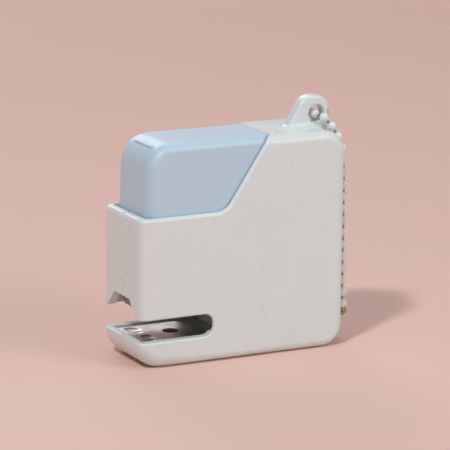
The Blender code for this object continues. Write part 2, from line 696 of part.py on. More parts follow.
make_housing_half("right")
make_housing_half("left")
make_housing_screws()
make_anvil_plate()
coil_spring("lift_spring", (LIFT_SPRING_X, 0, SHELL_WALL + GAP), (0, 0, 1),
            CHANNEL_FOOT - SHELL_WALL - 2 * GAP, 2.9, 0.7, 5, PAINT["spring_steel"])

button_slide = joint_empty("button_slide_axis", ((2.75 + BUTTON_BACK) / 2, 0, HEIGHT))
press_button = make_press_button()
blade, blade_screw = make_driver_blade()
press_spring = coil_spring("press_spring", (PRESS_SPRING_X, 0, SEAT_TOP + GAP), (0, 0, 1),
                           54.0 - SEAT_TOP - 2 * GAP, 3.6, 0.65, 9, PAINT["spring_steel"])
hang_from(button_slide, press_button, blade, blade_screw, press_spring)

magazine_pivot = joint_empty("magazine_pivot_axis", (PIVOT_X, 0, PIVOT_Z))
hang_from(magazine_pivot, make_magazine_channel(), *make_magazine_pins(), make_staple_rail(),
          make_staple_strip(), make_spring_seat())

slide_line = joint_empty("loading_slide_axis", (LENGTH, 0, ROD_Z))
pusher_spring = coil_spring("pusher_spring", (PUSHER_X + PUSHER_LENGTH + GAP, 0, ROD_Z), (1, 0, 0),
                            CAP_X - PUSHER_X - PUSHER_LENGTH - 2 * GAP, 1.55, 0.4, 12, PAINT["spring_steel"])
hang_from(slide_line, make_loading_pull(), make_guide_rod(), pusher_spring)
pusher_line = joint_empty("pusher_axis", (PUSHER_X, 0, ROD_Z))
hang_from(slide_line, pusher_line)
hang_from(pusher_line, make_staple_pusher())

chain_swing = joint_empty("chain_swing_axis", (LUG_X, 0, LUG_Z))
hang_from(chain_swing, *make_ball_chain())
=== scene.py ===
# %% [markdown]
# # A square key-chain stapler, finished in Blender
# The moving model is already made: two housing halves, a press button, a magazine, springs and a
# ball chain, all as plain solids in their right places. This lesson gives those solids their real
# surfaces. We load them first, because every finished piece takes its place from them.

# %% Load the plain model
import math

import bmesh
import bpy
from mathutils import Matrix, Vector


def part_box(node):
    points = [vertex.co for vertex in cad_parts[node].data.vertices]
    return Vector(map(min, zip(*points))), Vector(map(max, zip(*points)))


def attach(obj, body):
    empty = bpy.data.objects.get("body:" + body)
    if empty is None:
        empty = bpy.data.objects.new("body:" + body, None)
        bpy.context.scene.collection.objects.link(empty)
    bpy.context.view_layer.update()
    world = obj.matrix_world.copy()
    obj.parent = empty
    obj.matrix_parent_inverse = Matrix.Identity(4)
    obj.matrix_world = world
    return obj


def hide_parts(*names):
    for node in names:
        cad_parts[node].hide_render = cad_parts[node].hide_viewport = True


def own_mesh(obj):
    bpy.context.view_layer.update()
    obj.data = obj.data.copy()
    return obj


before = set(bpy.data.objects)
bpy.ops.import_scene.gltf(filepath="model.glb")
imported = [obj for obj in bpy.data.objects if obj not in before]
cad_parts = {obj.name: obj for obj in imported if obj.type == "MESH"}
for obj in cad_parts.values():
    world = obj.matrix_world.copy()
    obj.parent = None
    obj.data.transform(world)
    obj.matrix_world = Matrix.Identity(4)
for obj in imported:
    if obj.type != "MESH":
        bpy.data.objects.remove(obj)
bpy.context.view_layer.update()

# %% [markdown]
# ## Units and places
# Blender works in metres, but a stapler is drawn in millimetres. One function turns "so many
# millimetres behind the front face, sideways from the middle, above the table" into a scene place,
# and it reads the front face from the plain housing, so nothing has to be fitted by eye.

# %% Units and places
MM = 0.001
housing_low, housing_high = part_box("housing_left")
FRONT = housing_low[0]
LENGTH = (housing_high[0] - housing_low[0]) / MM
HEIGHT = housing_high[2] / MM
WIDTH = 2 * housing_high[1] / MM


def at(x, y, z):
    return Vector((FRONT + x * MM, y * MM, z * MM))


print(f"housing {LENGTH:.1f} x {WIDTH:.1f} x {HEIGHT:.1f} mm")

# %% [markdown]
# ## The camera comes early
# A long lens from a little above table height flattens the perspective, as in a product picture.
# We aim it by two angles: how far it stands round towards the jaw, and how far it looks down. The
# small roll levels the stapler the way a hand-held picture leaves it.

# %% Camera
VIEW_ROUND = math.radians(27.617)
VIEW_DOWN = math.radians(13.255)
VIEW_ROLL = math.radians(0.638)
VIEW_DISTANCE = 720.9 * MM
back = Vector((-math.sin(VIEW_ROUND) * math.cos(VIEW_DOWN), -math.cos(VIEW_ROUND) * math.cos(VIEW_DOWN),
               math.sin(VIEW_DOWN)))
right = Vector((math.cos(VIEW_ROUND), -math.sin(VIEW_ROUND), 0))
up = back.cross(right)
rolled_right = right * math.cos(VIEW_ROLL) + up * math.sin(VIEW_ROLL)
rolled_up = up * math.cos(VIEW_ROLL) - right * math.sin(VIEW_ROLL)

camera_data = bpy.data.cameras.new("product_camera")
camera_data.lens = 225.94
camera_data.clip_end = 20
camera = bpy.data.objects.new("product_camera", camera_data)
bpy.context.scene.collection.objects.link(camera)
aim = at(26.86, -4.97, 34.10)
turn = Matrix((rolled_right, rolled_up, back)).transposed().to_4x4()
camera.matrix_world = Matrix.Translation(aim + back * VIEW_DISTANCE) @ turn
bpy.context.scene.camera = camera
print("camera stands at", [round(value, 3) for value in camera.matrix_world.translation])

# %% [markdown]
# ## Soft studio light and a plain floor
# Glossy plastic shows its shape by what it mirrors, so three large soft panels do most of the work. The
# fourth is small and hangs high on the jaw side, so it casts the one clear shadow, short and towards the
# back. A pale floor sends a little warmth up into the lower edges.

# %% Colours and nodes
def linear(code, alpha=1.0):
    """An sRGB hex colour as the linear values that Blender's sockets take."""
    parts = [int(code[i:i + 2], 16) / 255 for i in (1, 3, 5)]
    return tuple(p / 12.92 if p <= 0.04045 else ((p + 0.055) / 1.055) ** 2.4 for p in parts) + (alpha,)


def add_node(tree, kind, inputs=None, **settings):
    """Add one node. Settings are its own properties; inputs are constants or sockets to link."""
    made = tree.nodes.new(kind)
    for name, value in settings.items():
        setattr(made, name, value)
    for key, value in (inputs or {}).items():
        if isinstance(value, bpy.types.NodeSocket):
            tree.links.new(value, made.inputs[key])
        else:
            made.inputs[key].default_value = value
    return made


def new_material(name, colour, roughness, metallic=0.0, ior=1.5):
    """A Principled material with its node tree, its shader and its Object coordinates."""
    made = bpy.data.materials.new(name)
    made.use_nodes = True
    tree = made.node_tree
    shader = tree.nodes["Principled BSDF"]
    shader.inputs["Base Color"].default_value = linear(colour)
    shader.inputs["Roughness"].default_value = roughness
    shader.inputs["Metallic"].default_value = metallic
    shader.inputs["IOR"].default_value = ior
    places = add_node(tree, "ShaderNodeTexCoord").outputs["Object"]
    return made, tree, shader, places


# %% Floor and lights
floor_paint, floor_tree, floor_shader, floor_places = new_material("pale_paper_floor", "#EBC3B5", 0.85)
floor_grain = add_node(floor_tree, "ShaderNodeTexNoise", {"Vector": floor_places, "Scale": 900.0})
floor_bump = add_node(floor_tree, "ShaderNodeBump",
                      {"Height": floor_grain.outputs["Fac"], "Strength": 0.05,
                                                     "Distance": 0.0002})
floor_tree.links.new(floor_bump.outputs["Normal"], floor_shader.inputs["Normal"])


def make_floor():
    """A sheet of paper that lies flat and then sweeps up behind, with no corner to see."""
    near, far, sweep, tall, half = -1.2, 0.75, 0.5, 1.6, 2.2
    profile = [(near, 0.0), (far, 0.0)]
    for step in range(1, 17):
        angle = math.pi / 2 * step / 16
        profile.append((far + sweep * math.sin(angle), sweep * (1 - math.cos(angle))))
    profile.append((far + sweep, tall))
    work = bmesh.new()
    rows = [[work.verts.new((side * half, y, z)) for y, z in profile] for side in (-1, 1)]
    for i in range(len(profile) - 1):
        work.faces.new((rows[0][i], rows[1][i], rows[1][i + 1], rows[0][i + 1]))
    mesh = bpy.data.meshes.new("paper_floor")
    work.to_mesh(mesh)
    work.free()
    mesh.materials.append(floor_paint)
    mesh.shade_smooth()
    floor = bpy.data.objects.new("paper_floor", mesh)
    floor.rotation_euler = (0, 0, -VIEW_ROUND)
    bpy.context.scene.collection.objects.link(floor)
    return floor


make_floor()


def soft_panel(name, place, target, size, power, tint):
    """A square area light at a place in metres, turned towards a target."""
    data = bpy.data.lights.new(name, "AREA")
    data.shape = "SQUARE"
    data.size = size
    data.energy = power
    data.color = linear(tint)[:3]
    panel = bpy.data.objects.new(name, data)
    panel.location = place
    panel.rotation_euler = (Vector(target) - Vector(place)).to_track_quat("-Z", "Y").to_euler()
    bpy.context.scene.collection.objects.link(panel)
    return panel


middle = (0, 0, 0.03)
soft_panel("key_panel", (-0.60, -0.42, 0.95), middle, 0.11, 6.1, "#F6FCFF")
soft_panel("top_panel", (0.05, 0.05, 1.20), middle, 0.80, 2.0, "#F2F9FF")
soft_panel("front_panel", (0.75, -1.05, 0.62), middle, 0.80, 6.7, "#F3FBFF")
soft_panel("back_panel", (0.35, 1.25, 0.50), middle, 0.80, 8.6, "#E6F4FF")

world = bpy.data.worlds.new("studio_air")
world.use_nodes = True
world.node_tree.nodes["Background"].inputs["Color"].default_value = linear("#F3F6FB")
world.node_tree.nodes["Background"].inputs["Strength"].default_value = 0.25
bpy.context.scene.world = world
bpy.context.scene.view_settings.view_transform = "Standard"
print("stage and", len(bpy.data.lights), "panels")

# %% [markdown]
# ## Moulded ABS
# The housing and the button are injection-moulded ABS: a hard, glossy plastic whose skin copies the
# polished mould. Up close it isn't a flat colour. The pigment drifts a little over a centimetre, the
# gloss varies where hands have rubbed it, the skin has a very faint orange peel about half a
# millimetre across, and a few dust specks sit on it. Small changes in roughness matter more to the
# eye here than changes in colour.

# %% Moulded ABS materials
def drift(tree, places, per_metre, low, high, detail=3.0):
    """Slow noise stretched between two values."""
    noise = add_node(tree, "ShaderNodeTexNoise", {"Vector": places, "Scale": per_metre, "Detail": detail})
    spread = add_node(tree, "ShaderNodeMapRange", {"Value": noise.outputs["Fac"], "From Min": 0.3,
                                                   "From Max": 0.7, "To Min": low, "To Max": high})
    return spread.outputs["Result"]


def mixed(tree, share, first, second):
    """Two colours mixed by a share. Each is a linear colour or a colour socket."""
    made = add_node(tree, "ShaderNodeMix", {0: share, 6: first, 7: second}, data_type="RGBA")
    return made.outputs[2]


def dust_specks(tree, places, per_metre, rarity):
    """A few small round specks: Voronoi cells, of which only the rarest keep their middles."""
    cells = add_node(tree, "ShaderNodeTexVoronoi", {"Vector": places, "Scale": per_metre})
    pick = add_node(tree, "ShaderNodeSeparateColor", {"Color": cells.outputs["Color"]})
    chosen = add_node(tree, "ShaderNodeMath", {0: pick.outputs["Red"], 1: rarity},
                      operation="GREATER_THAN")
    core = add_node(tree, "ShaderNodeMapRange", {"Value": cells.outputs["Distance"], "From Min": 0.03,
                                                 "From Max": 0.10, "To Min": 0.6, "To Max": 0.0})
    return add_node(tree, "ShaderNodeMath", {0: chosen.outputs[0], 1: core.outputs["Result"]},
                    operation="MULTIPLY").outputs[0]


def moulded_abs(name, pigment, shade, roughness):
    """Glossy moulded plastic: pigment drift, sparse dust, uneven gloss and a faint orange peel."""
    made, tree, shader, places = new_material(name, pigment, roughness, ior=1.53)
    tone = mixed(tree, drift(tree, places, 90.0, 0.0, 1.0), linear(pigment), linear(shade))
    dusty = mixed(tree, dust_specks(tree, places, 380.0, 0.988), tone, linear("#A79C92"))
    tree.links.new(dusty, shader.inputs["Base Color"])
    gloss = drift(tree, places, 150.0, roughness - 0.04, roughness + 0.07, detail=5.0)
    tree.links.new(gloss, shader.inputs["Roughness"])
    peel = add_node(tree, "ShaderNodeTexNoise", {"Vector": places, "Scale": 1400.0, "Detail": 2.0})
    bump = add_node(tree, "ShaderNodeBump", {"Height": peel.outputs["Fac"], "Strength": 0.10,
                                             "Distance": 0.00003})
    tree.links.new(bump.outputs["Normal"], shader.inputs["Normal"])
    return made


white_abs = moulded_abs("white_moulded_abs", "#E2E8E6", "#DFE5E3", 0.30)
blue_abs = moulded_abs("pale_blue_moulded_abs", "#C2D8E7", "#BFD5E5", 0.34)
grey_abs = moulded_abs("grey_moulded_plastic", "#55585C", "#4D5054", 0.42)

# %% [markdown]
# ## Steels, wire and brass
# The anvil is bright rolled steel: fine lines along the rolling direction and random scratches from
# staples and paper. The magazine is pressed sheet with a duller plating, and springs and staples are
# drawn wire. They share one recipe, a metal whose roughness and bump follow stretched noise, with the
# stretch and the grain size chosen for each. Real rolling lines are about 0.02 mm apart, too fine to
# show at this distance, so they are drawn about ten times coarser.

# %% Metal materials
def scratches(tree, places, turn, stretch, per_metre, rarity):
    """Thin lines along one direction: noise squeezed across, then only its crests kept."""
    mapped = add_node(tree, "ShaderNodeMapping", {"Vector": places, "Rotation": (0, 0, turn),
                                                  "Scale": stretch})
    noise = add_node(tree, "ShaderNodeTexNoise", {"Vector": mapped.outputs["Vector"], "Scale": per_metre,
                                                  "Detail": 2.0})
    crest = add_node(tree, "ShaderNodeMapRange", {"Value": noise.outputs["Fac"], "From Min": rarity,
                                                  "From Max": rarity + 0.05, "To Min": 0.0, "To Max": 1.0})
    return crest.outputs["Result"]


def drawn_metal(name, colour, stain, roughness, lines, stretch, scratched=0.0):
    """Metal with a grain along one direction, slow staining and, on request, crossing scratches."""
    made, tree, shader, places = new_material(name, colour, roughness, metallic=1.0)
    mapped = add_node(tree, "ShaderNodeMapping", {"Vector": places, "Scale": stretch})
    grain = add_node(tree, "ShaderNodeTexNoise", {"Vector": mapped.outputs["Vector"], "Scale": lines,
                                                  "Detail": 4.0})
    height = grain.outputs["Fac"]
    for turn, rarity in ((0.5, 0.66), (-0.9, 0.67), (1.8, 0.68)):
        if scratched:
            line = scratches(tree, places, turn, (1.0, 14.0, 1.0), 260.0, rarity)
            dug = add_node(tree, "ShaderNodeMath", {0: line, 1: scratched}, operation="MULTIPLY")
            height = add_node(tree, "ShaderNodeMath", {0: height, 1: dug.outputs[0]},
                              operation="SUBTRACT").outputs[0]
    bump = add_node(tree, "ShaderNodeBump", {"Height": height, "Strength": 0.35, "Distance": 0.00004})
    tree.links.new(bump.outputs["Normal"], shader.inputs["Normal"])
    stained = mixed(tree, drift(tree, places, 240.0, 0.0, 1.0, detail=6.0), linear(colour), linear(stain))
    tree.links.new(stained, shader.inputs["Base Color"])
    tree.links.new(drift(tree, places, 500.0, roughness - 0.06, roughness + 0.12),
                   shader.inputs["Roughness"])
    return made


anvil_steel = drawn_metal("rolled_anvil_steel", "#E4E1DC", "#C4BDB4", 0.38, 300.0, (1.0, 12.0, 1.0), 0.8)
magazine_steel = drawn_metal("plated_magazine_steel", "#A9A49E", "#8F8983", 0.34, 300.0, (1.0, 1.0, 10.0))
blade_steel = drawn_metal("ground_blade_steel", "#8E8D8E", "#7A797A", 0.28, 400.0, (1.0, 1.0, 12.0))
spring_steel = drawn_metal("drawn_spring_wire", "#9C9B9A", "#85827F", 0.32, 600.0, (1.0, 1.0, 4.0))
screw_zinc = drawn_metal("zinc_screw_steel", "#B9B8B4", "#A2A19B", 0.30, 700.0, (1.0, 3.0, 1.0))
staple_wire = drawn_metal("galvanised_staple_wire", "#C4C4C4", "#AFB0B2", 0.26, 600.0, (1.0, 6.0, 1.0))
link_brass = drawn_metal("bare_link_brass", "#B5A98D", "#988A6D", 0.50, 900.0, (1.0, 1.0, 1.0))
print("materials:", len(bpy.data.materials))

# %% [markdown]
# ## Drawing outlines and thick plates
# Most pieces of a moulded or pressed product start as a flat outline with rounded corners. We write an
# outline as a short list of corners, each with its radius, and let a function draw the arcs. A second
# function gives it thickness along X, Y or Z. Every piece is built where it belongs, with its object at
# the scene's origin, so its surface patterns stay put when it moves.

# %% Outlines and prisms
def rounded(corners, steps=8):
    """Outline points from (u, v, radius) corners, each corner an arc of its radius."""
    points = []
    for i, (u, v, radius) in enumerate(corners):
        here = Vector((u, v))
        if radius == 0:
            points.append(here)
            continue
        before = (Vector(corners[i - 1][:2]) - here).normalized()
        after = (Vector(corners[(i + 1) % len(corners)][:2]) - here).normalized()
        half = before.angle(after) / 2
        centre = here + (before + after).normalized() * radius / math.sin(half)
        start = here + before * radius / math.tan(half) - centre
        end = here + after * radius / math.tan(half) - centre
        turn = start.angle_signed(end)
        for step in range(steps + 1):
            points.append(centre + Matrix.Rotation(-turn * step / steps, 2) @ start)
    return points


def new_piece(name, mesh, *paints):
    """An object at the scene's origin that shows a mesh with these materials."""
    made = bpy.data.objects.new(name, mesh)
    bpy.context.scene.collection.objects.link(made)
    for paint in paints:
        mesh.materials.append(paint)
    return made


def finish_mesh(work, name):
    bmesh.ops.recalc_face_normals(work, faces=work.faces)
    mesh = bpy.data.meshes.new(name)
    work.to_mesh(mesh)
    work.free()
    return mesh


SPREADS = {
    "x": lambda u, v, w: at(w, u, v),
    "y": lambda u, v, w: at(u, w, v),
    "z": lambda u, v, w: at(u, v, w)}


def prism(name, outline, low, high, across="y"):
    """A flat outline given thickness along one axis, in millimetres."""
    work = bmesh.new()
    spread = SPREADS[across]
    ends = [[work.verts.new(spread(u, v, w)) for u, v in outline] for w in (low, high)]
    work.faces.new(ends[0])
    work.faces.new(ends[1])
    count = len(outline)
    for i in range(count):
        work.faces.new((ends[0][i], ends[0][(i + 1) % count], ends[1][(i + 1) % count], ends[1][i]))
    return new_piece(name, finish_mesh(work, name))


def block(name, low, high):
    """A box between two corners."""
    outline = [(low[0], low[2]), (high[0], low[2]), (high[0], high[2]), (low[0], high[2])]
    return prism(name, outline, low[1], high[1])


def bar(name, start, end, radius, sides=32):
    """A round bar between two places in millimetres."""
    work = bmesh.new()
    start, end = at(*start), at(*end)
    place = Matrix.Translation((start + end) / 2) @ (end - start).to_track_quat("Z",
                                                                                "Y").to_matrix().to_4x4()
    bmesh.ops.create_cone(work, cap_ends=True, segments=sides, radius1=radius * MM, radius2=radius * MM,
                          depth=(end - start).length, matrix=place)
    return new_piece(name, finish_mesh(work, name))


def egg(name, place, half_sizes, turn=0.0):
    """A ball stretched to three half sizes and turned about the vertical."""
    work = bmesh.new()
    stretch = Matrix.Diagonal([size * MM for size in half_sizes] + [1.0])
    matrix = Matrix.Translation(at(*place)) @ Matrix.Rotation(turn, 4, "Z") @ stretch
    bmesh.ops.create_uvsphere(work, u_segments=40, v_segments=24, radius=1.0, matrix=matrix)
    return new_piece(name, finish_mesh(work, name))


# %% [markdown]
# ## Cutting, then softening the edges
# A moulded wall is easiest to make as a solid with pockets cut out of it, like the mould itself. After
# the cuts every edge is razor sharp, and real plastic never is, so we choose edges by place, give each
# a bevel weight for the radius that it has on the real thing, and let one Bevel modifier round them
# all. Weighted normals then keep the large faces flat to the eye.

# %% Cutting and softening
def settle(piece):
    """Replace a piece's mesh by what its modifiers make of it."""
    bpy.context.view_layer.update()
    evaluated = piece.evaluated_get(bpy.context.evaluated_depsgraph_get())
    mesh = bpy.data.meshes.new_from_object(evaluated)
    piece.modifiers.clear()
    piece.data = mesh
    return piece


def combine(piece, operation, others):
    """Cut, join or intersect a piece with others, which are used up."""
    for other in others:
        change = piece.modifiers.new(operation, "BOOLEAN")
        change.operation = operation
        change.solver = "EXACT"
        change.object = other
    settle(piece)
    for other in others:
        bpy.data.objects.remove(other)
    return piece


def cut(piece, *others):
    return combine(piece, "DIFFERENCE", others)


def join(piece, *others):
    return combine(piece, "UNION", others)


def clean(piece, flat_degrees=0.3):
    """Weld what the cuts left apart and drop points that lie on straight edges."""
    work = bmesh.new()
    work.from_mesh(piece.data)
    bmesh.ops.remove_doubles(work, verts=work.verts, dist=0.02 * MM)
    bmesh.ops.dissolve_limit(work, angle_limit=math.radians(flat_degrees), verts=work.verts,
                             edges=work.edges)
    work.to_mesh(piece.data)
    work.free()


def soften(piece, radius_at, widest, segments=4, sharp_degrees=24):
    """Round each sharp edge by radius_at(x, y, z, concave) millimetres, where 0 leaves it alone."""
    clean(piece)
    work = bmesh.new()
    work.from_mesh(piece.data)
    layers = work.edges.layers.float
    weights = layers.get("bevel_weight_edge") or layers.new("bevel_weight_edge")
    count = 0
    for edge in work.edges:
        edge[weights] = 0.0
        if len(edge.link_faces) != 2 or edge.calc_face_angle(0) < math.radians(sharp_degrees):
            continue
        middle = (edge.verts[0].co + edge.verts[1].co) / 2
        x, y, z = (middle.x - FRONT) / MM, middle.y / MM, middle.z / MM
        radius = radius_at(x, y, z, edge.calc_face_angle_signed(0) < 0)
        if radius > 0:
            edge[weights] = min(radius / widest, 1.0)
            count += 1
    work.to_mesh(piece.data)
    work.free()
    bevel = piece.modifiers.new("Soften", "BEVEL")
    bevel.limit_method = "WEIGHT"
    bevel.width = widest * MM
    bevel.segments = segments
    bevel.use_clamp_overlap = False
    bevel.loop_slide = False
    settle(piece)
    return count


def smooth(piece, sharp_degrees=38):
    """Smooth shading with flat faces kept flat."""
    piece.data.shade_smooth()
    piece.data.set_sharp_from_angle(angle=math.radians(sharp_degrees))
    even = piece.modifiers.new("Even", "WEIGHTED_NORMAL")
    even.keep_sharp = True
    even.weight = 60
    settle(piece)


def paint(piece, *paints):
    piece.data.materials.clear()
    for one in paints:
        piece.data.materials.append(one)


print("helpers ready")

# %% [markdown]
# ## The housing
# The housing is two injection mouldings that meet on the middle plane. Only the near half carries the
# lug, so the seam steps round it on the top face. We make one solid with every pocket and opening, then
# split it, so that both halves agree. Its outline comes from the sizes of the plain model, and its long
# edges get their 2.25 mm round before any cut, because a mould maker rounds the block first too.

# %% Housing sizes
WALL_SIDE = 1.2
WALL_FRONT = 2.2
WALL_SHELL = 1.8
RIM_Z = 39.0
SLOPE_TOP_X = 36.5
WELL_BACK = 38.05
SLOT_LOW = 7.05
SLOT_HIGH = 12.85
SLOT_END = 20.9
LUG_X, LUG_Z = 54.9, 60.3
SCREW_PLACES = ((47.5, 45.0), (50.5, 7.0), (28.5, 5.2))
PIVOT_X, PIVOT_Z = 54.2, 17.6
EDGE_ROUND, NOSE_EXTRA = 2.25, 1.15
LUG_HALF, LUG_HOLE, LUG_ROUND = 1.75, 2.25, 0.8
WINDOW_TOP, WINDOW_TOP_HALF, WINDOW_FOOT_HALF = 17.4, 4.4, 9.3
CHAMBER_FRONT, BASE_END, WELL_FLOOR, BOSS_END = 25.2, 25.5, 34.0, 10.3
FAR = 90.0

HOUSING_LINE = rounded([(0, 0, 6.4), (10, 0, 0), (14, 0, 0), (18, 0, 0), (LENGTH, 0, 6.0),
                        (LENGTH, HEIGHT, 6.0), (0, HEIGHT, 3.0)], steps=14)
LUG_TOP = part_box("housing_right")[1][2] / MM
LUG_LINE = rounded([(45.7, 55.6, 0), (LENGTH, 50.6, 0), (LENGTH, LUG_TOP, 4.3), (51.3, LUG_TOP, 4.3)],
                   steps=14)
SLOT_LINE = rounded([(-FAR, SLOT_LOW, 0), (SLOT_END, SLOT_LOW, 2.6), (SLOT_END, SLOT_HIGH, 2.6),
                     (-FAR, SLOT_HIGH, 0)], steps=10)
SLOPE = (SLOPE_TOP_X - 24.3) / (HEIGHT - RIM_Z)
THUMB_LINE = rounded([(-FAR, RIM_Z, 0), (24.3, RIM_Z, 5.0), (SLOPE_TOP_X, HEIGHT, 0),
                      (SLOPE_TOP_X + SLOPE * FAR, HEIGHT + FAR, 0), (-FAR, HEIGHT + FAR, 0)], steps=12)
print("outline points:", len(HOUSING_LINE), len(LUG_LINE), len(SLOT_LINE), len(THUMB_LINE))


# %% Housing solid
def well_line():
    """The button's well seen from above, with round back corners."""
    half = WIDTH / 2 - WALL_SIDE
    return rounded([(WALL_FRONT, -half, 1.0), (WELL_BACK, -half, 3.1), (WELL_BACK, half, 3.1),
                    (WALL_FRONT, half, 1.0)], steps=10)


def block_edge(x, y, z, concave):
    """The round of the block's long edges, which grows under the nose of the jaw."""
    if abs(y) < WIDTH / 2 - 0.1:
        return 0
    nose = max(0.0, min(1.0, (19.0 - x) / 13.0, (6.4 - z) / 4.8)) ** 2
    return EDGE_ROUND + NOSE_EXTRA * nose


def make_housing_solid():
    """Both halves as one solid with the lug, the hollows, the bosses and every opening."""
    solid = prism("housing_solid", HOUSING_LINE, -WIDTH / 2, WIDTH / 2)
    soften(solid, block_edge, EDGE_ROUND + NOSE_EXTRA, segments=8)
    lug = prism("lug_blank", LUG_LINE, -LUG_HALF, LUG_HALF)
    soften(lug, lambda x, y, z, concave: LUG_ROUND if abs(y) > LUG_HALF - 0.05 and z > 56 else 0,
           LUG_ROUND, segments=5)
    join(solid, lug)
    back, roof, half = LENGTH - WALL_SHELL, HEIGHT - WALL_SHELL, WIDTH / 2 - WALL_SIDE
    rear = prism("rear_chamber", rounded([
        (WALL_FRONT, SLOT_LOW + 1, 0), (CHAMBER_FRONT, SLOT_LOW + 1, 0), (CHAMBER_FRONT, WALL_SHELL, 0),
        (back, WALL_SHELL, 4.2), (back, roof, 4.2), (39.4, roof, 0), (39.4, 35.0, 0),
        (WALL_FRONT, 35.0, 0)], steps=6), -half, half)
    well = prism("button_well", well_line(), WELL_FLOOR, HEIGHT + FAR, across="z")
    pocket = block("plate_pocket", (1.8, -8.6, 5.1), (BASE_END, 8.6, SLOT_LOW + 2))
    hollow = block("base_hollow", (4.5, -6.8, WALL_SHELL), (BASE_END, 6.8, 6.2))
    cut(solid, rear, well, pocket, hollow)
    bosses = [bar("boss", (x, -BOSS_END, z), (x, BOSS_END, z), 2.8) for x, z in SCREW_PLACES]
    bosses += [bar("pivot_boss", (PIVOT_X, side * 7.9, PIVOT_Z), (PIVOT_X, side * BOSS_END, PIVOT_Z), 2.6)
               for side in (-1, 1)]
    slot_end = block("slot_end_wall", (BASE_END + 0.25, 0.2 - BOSS_END, 0.75),
                     (BASE_END + 1.0, BOSS_END - 0.2, 9.3))
    join(solid, *bosses, slot_end)
    slot = prism("paper_slot", SLOT_LINE, -FAR, FAR)
    thumb = prism("thumb_opening", THUMB_LINE, -FAR, FAR)
    window_line = rounded([(-WINDOW_FOOT_HALF, SLOT_HIGH - 1, 0), (WINDOW_FOOT_HALF, SLOT_HIGH - 1, 0),
                           (WINDOW_TOP_HALF, WINDOW_TOP, 0.3), (-WINDOW_TOP_HALF, WINDOW_TOP, 0.3)],
                          steps=3)
    window = prism("front_window", window_line, -1.0, WALL_FRONT + 0.5, across="x")
    loading = block("loading_opening", (LENGTH - 3, -6.75, 14.1), (LENGTH + 3, 6.75, 22.6))
    hole = bar("lug_hole", (LUG_X, -5, LUG_Z), (LUG_X, 5, LUG_Z), LUG_HOLE, sides=40)
    cut(solid, slot, thumb, window, loading, hole)
    for x, z in SCREW_PLACES:
        cut(solid, bar("screw_hole", (x, -8.5, z), (x, 12, z), 1.4, sides=24),
            bar("screw_seat", (x, 8.7, z), (x, 12, z), 2.5, sides=32))
    cut(solid, bar("pivot_hole", (PIVOT_X, -9.9, PIVOT_Z), (PIVOT_X, 9.9, PIVOT_Z), 1.5, sides=24))
    clean(solid)
    return solid


housing_solid = make_housing_solid()
print("housing solid faces:", len(housing_solid.data.polygons))

# %% [markdown]
# ## Splitting the housing and rounding its edges
# The two halves meet with a hairline gap. Every moulded edge has its own small round: the lips that a
# thumb rubs are the softest, the slot is tighter, and the meeting faces are almost sharp. We tell them
# apart by place: an edge belongs to an opening when its middle lies on that opening's outline.

# %% Housing halves
def near_line(points, u, v, within=0.05):
    """Whether a point lies on a closed outline, both in millimetres."""
    here = Vector((u, v))
    for i, end in enumerate(points):
        start = Vector(points[i - 1])
        along = Vector(end) - start
        if along.length == 0:
            continue
        share = max(0.0, min(1.0, (here - start).dot(along) / along.length_squared))
        if (start + along * share - here).length < within:
            return True
    return False


SEAM_GAP = 0.03
SEAM_STEP = 2.2


def lip_radius(x, y, z):
    """The outer lip of the thumb opening: wider in front, and less where the wall runs out at the top."""
    if x < 2.3:
        return 0.85 + 0.30 * max(0.0, min(1.0, (10.6 - abs(y)) / 1.8))
    fillet_middle = HEIGHT - EDGE_ROUND
    if z <= fillet_middle:
        return 0.85
    outside = WIDTH / 2 - EDGE_ROUND + math.sqrt(max(0.0, EDGE_ROUND ** 2 - (z - fillet_middle) ** 2))
    return max(0.0, min(0.85, 0.7 * (outside - 9.8)))


def housing_edge(x, y, z, concave):
    """The round of a housing edge, chosen by which opening it belongs to."""
    if concave:
        if x < 46 or z < 51 or abs(y) > 2.6:
            return 0
        return 0.9 if y < 1.6 else 0.28
    if near_line(THUMB_LINE, x, z):
        return lip_radius(x, y, z) if abs(y) > 9.85 or x < 2.1 else 0.15
    if near_line(SLOT_LINE, x, z):
        return 0.5 if abs(y) > 9.9 or x < 1.7 else 0.12
    if abs(math.hypot(x - LUG_X, z - LUG_Z) - LUG_HOLE) < 0.06 and abs(y) < 2:
        return 0.5
    if x < 0.05 and SLOT_HIGH < z < 17.6:
        return 0.25
    if x > LENGTH - 0.05 and 13 < z < 23.2 and abs(y) < 7:
        return 0.35
    if y > 10.9:
        return 0.25
    if z > HEIGHT - 0.05 and WELL_BACK - 0.4 < x < WELL_BACK + 0.05:
        return 0.15
    seam = min(abs(abs(y) - SEAM_GAP), abs(abs(y - SEAM_STEP) - SEAM_GAP))
    if seam < 0.01 and near_line(HOUSING_LINE, x, z, 0.03):
        return 0.08
    return 0


def make_housing_half(name, side):
    """One half: the part of the solid on its side of the stepped seam."""
    half = new_piece(name, housing_solid.data.copy())
    step_low = (SLOPE_TOP_X - 5, -20, HEIGHT - WALL_SHELL)
    if side < 0:
        keep = block("keep_near", (-5, -20, -5), (FAR, -SEAM_GAP, FAR))
        join(keep, block("keep_step", step_low, (FAR, SEAM_STEP - SEAM_GAP, FAR)))
    else:
        keep = block("keep_far", (-5, SEAM_GAP, -5), (FAR, 20, FAR))
        cut(keep, block("drop_step", (step_low[0] - 0.06, -20, step_low[2] - 0.06),
                        (FAR + 1, SEAM_STEP + SEAM_GAP, FAR + 1)))
    combine(half, "INTERSECT", [keep])
    rounded_edges = soften(half, housing_edge, 1.2, segments=5)
    smooth(half, 40)
    paint(half, white_abs)
    print(name, "edges rounded:", rounded_edges, "faces:", len(half.data.polygons))
    return half


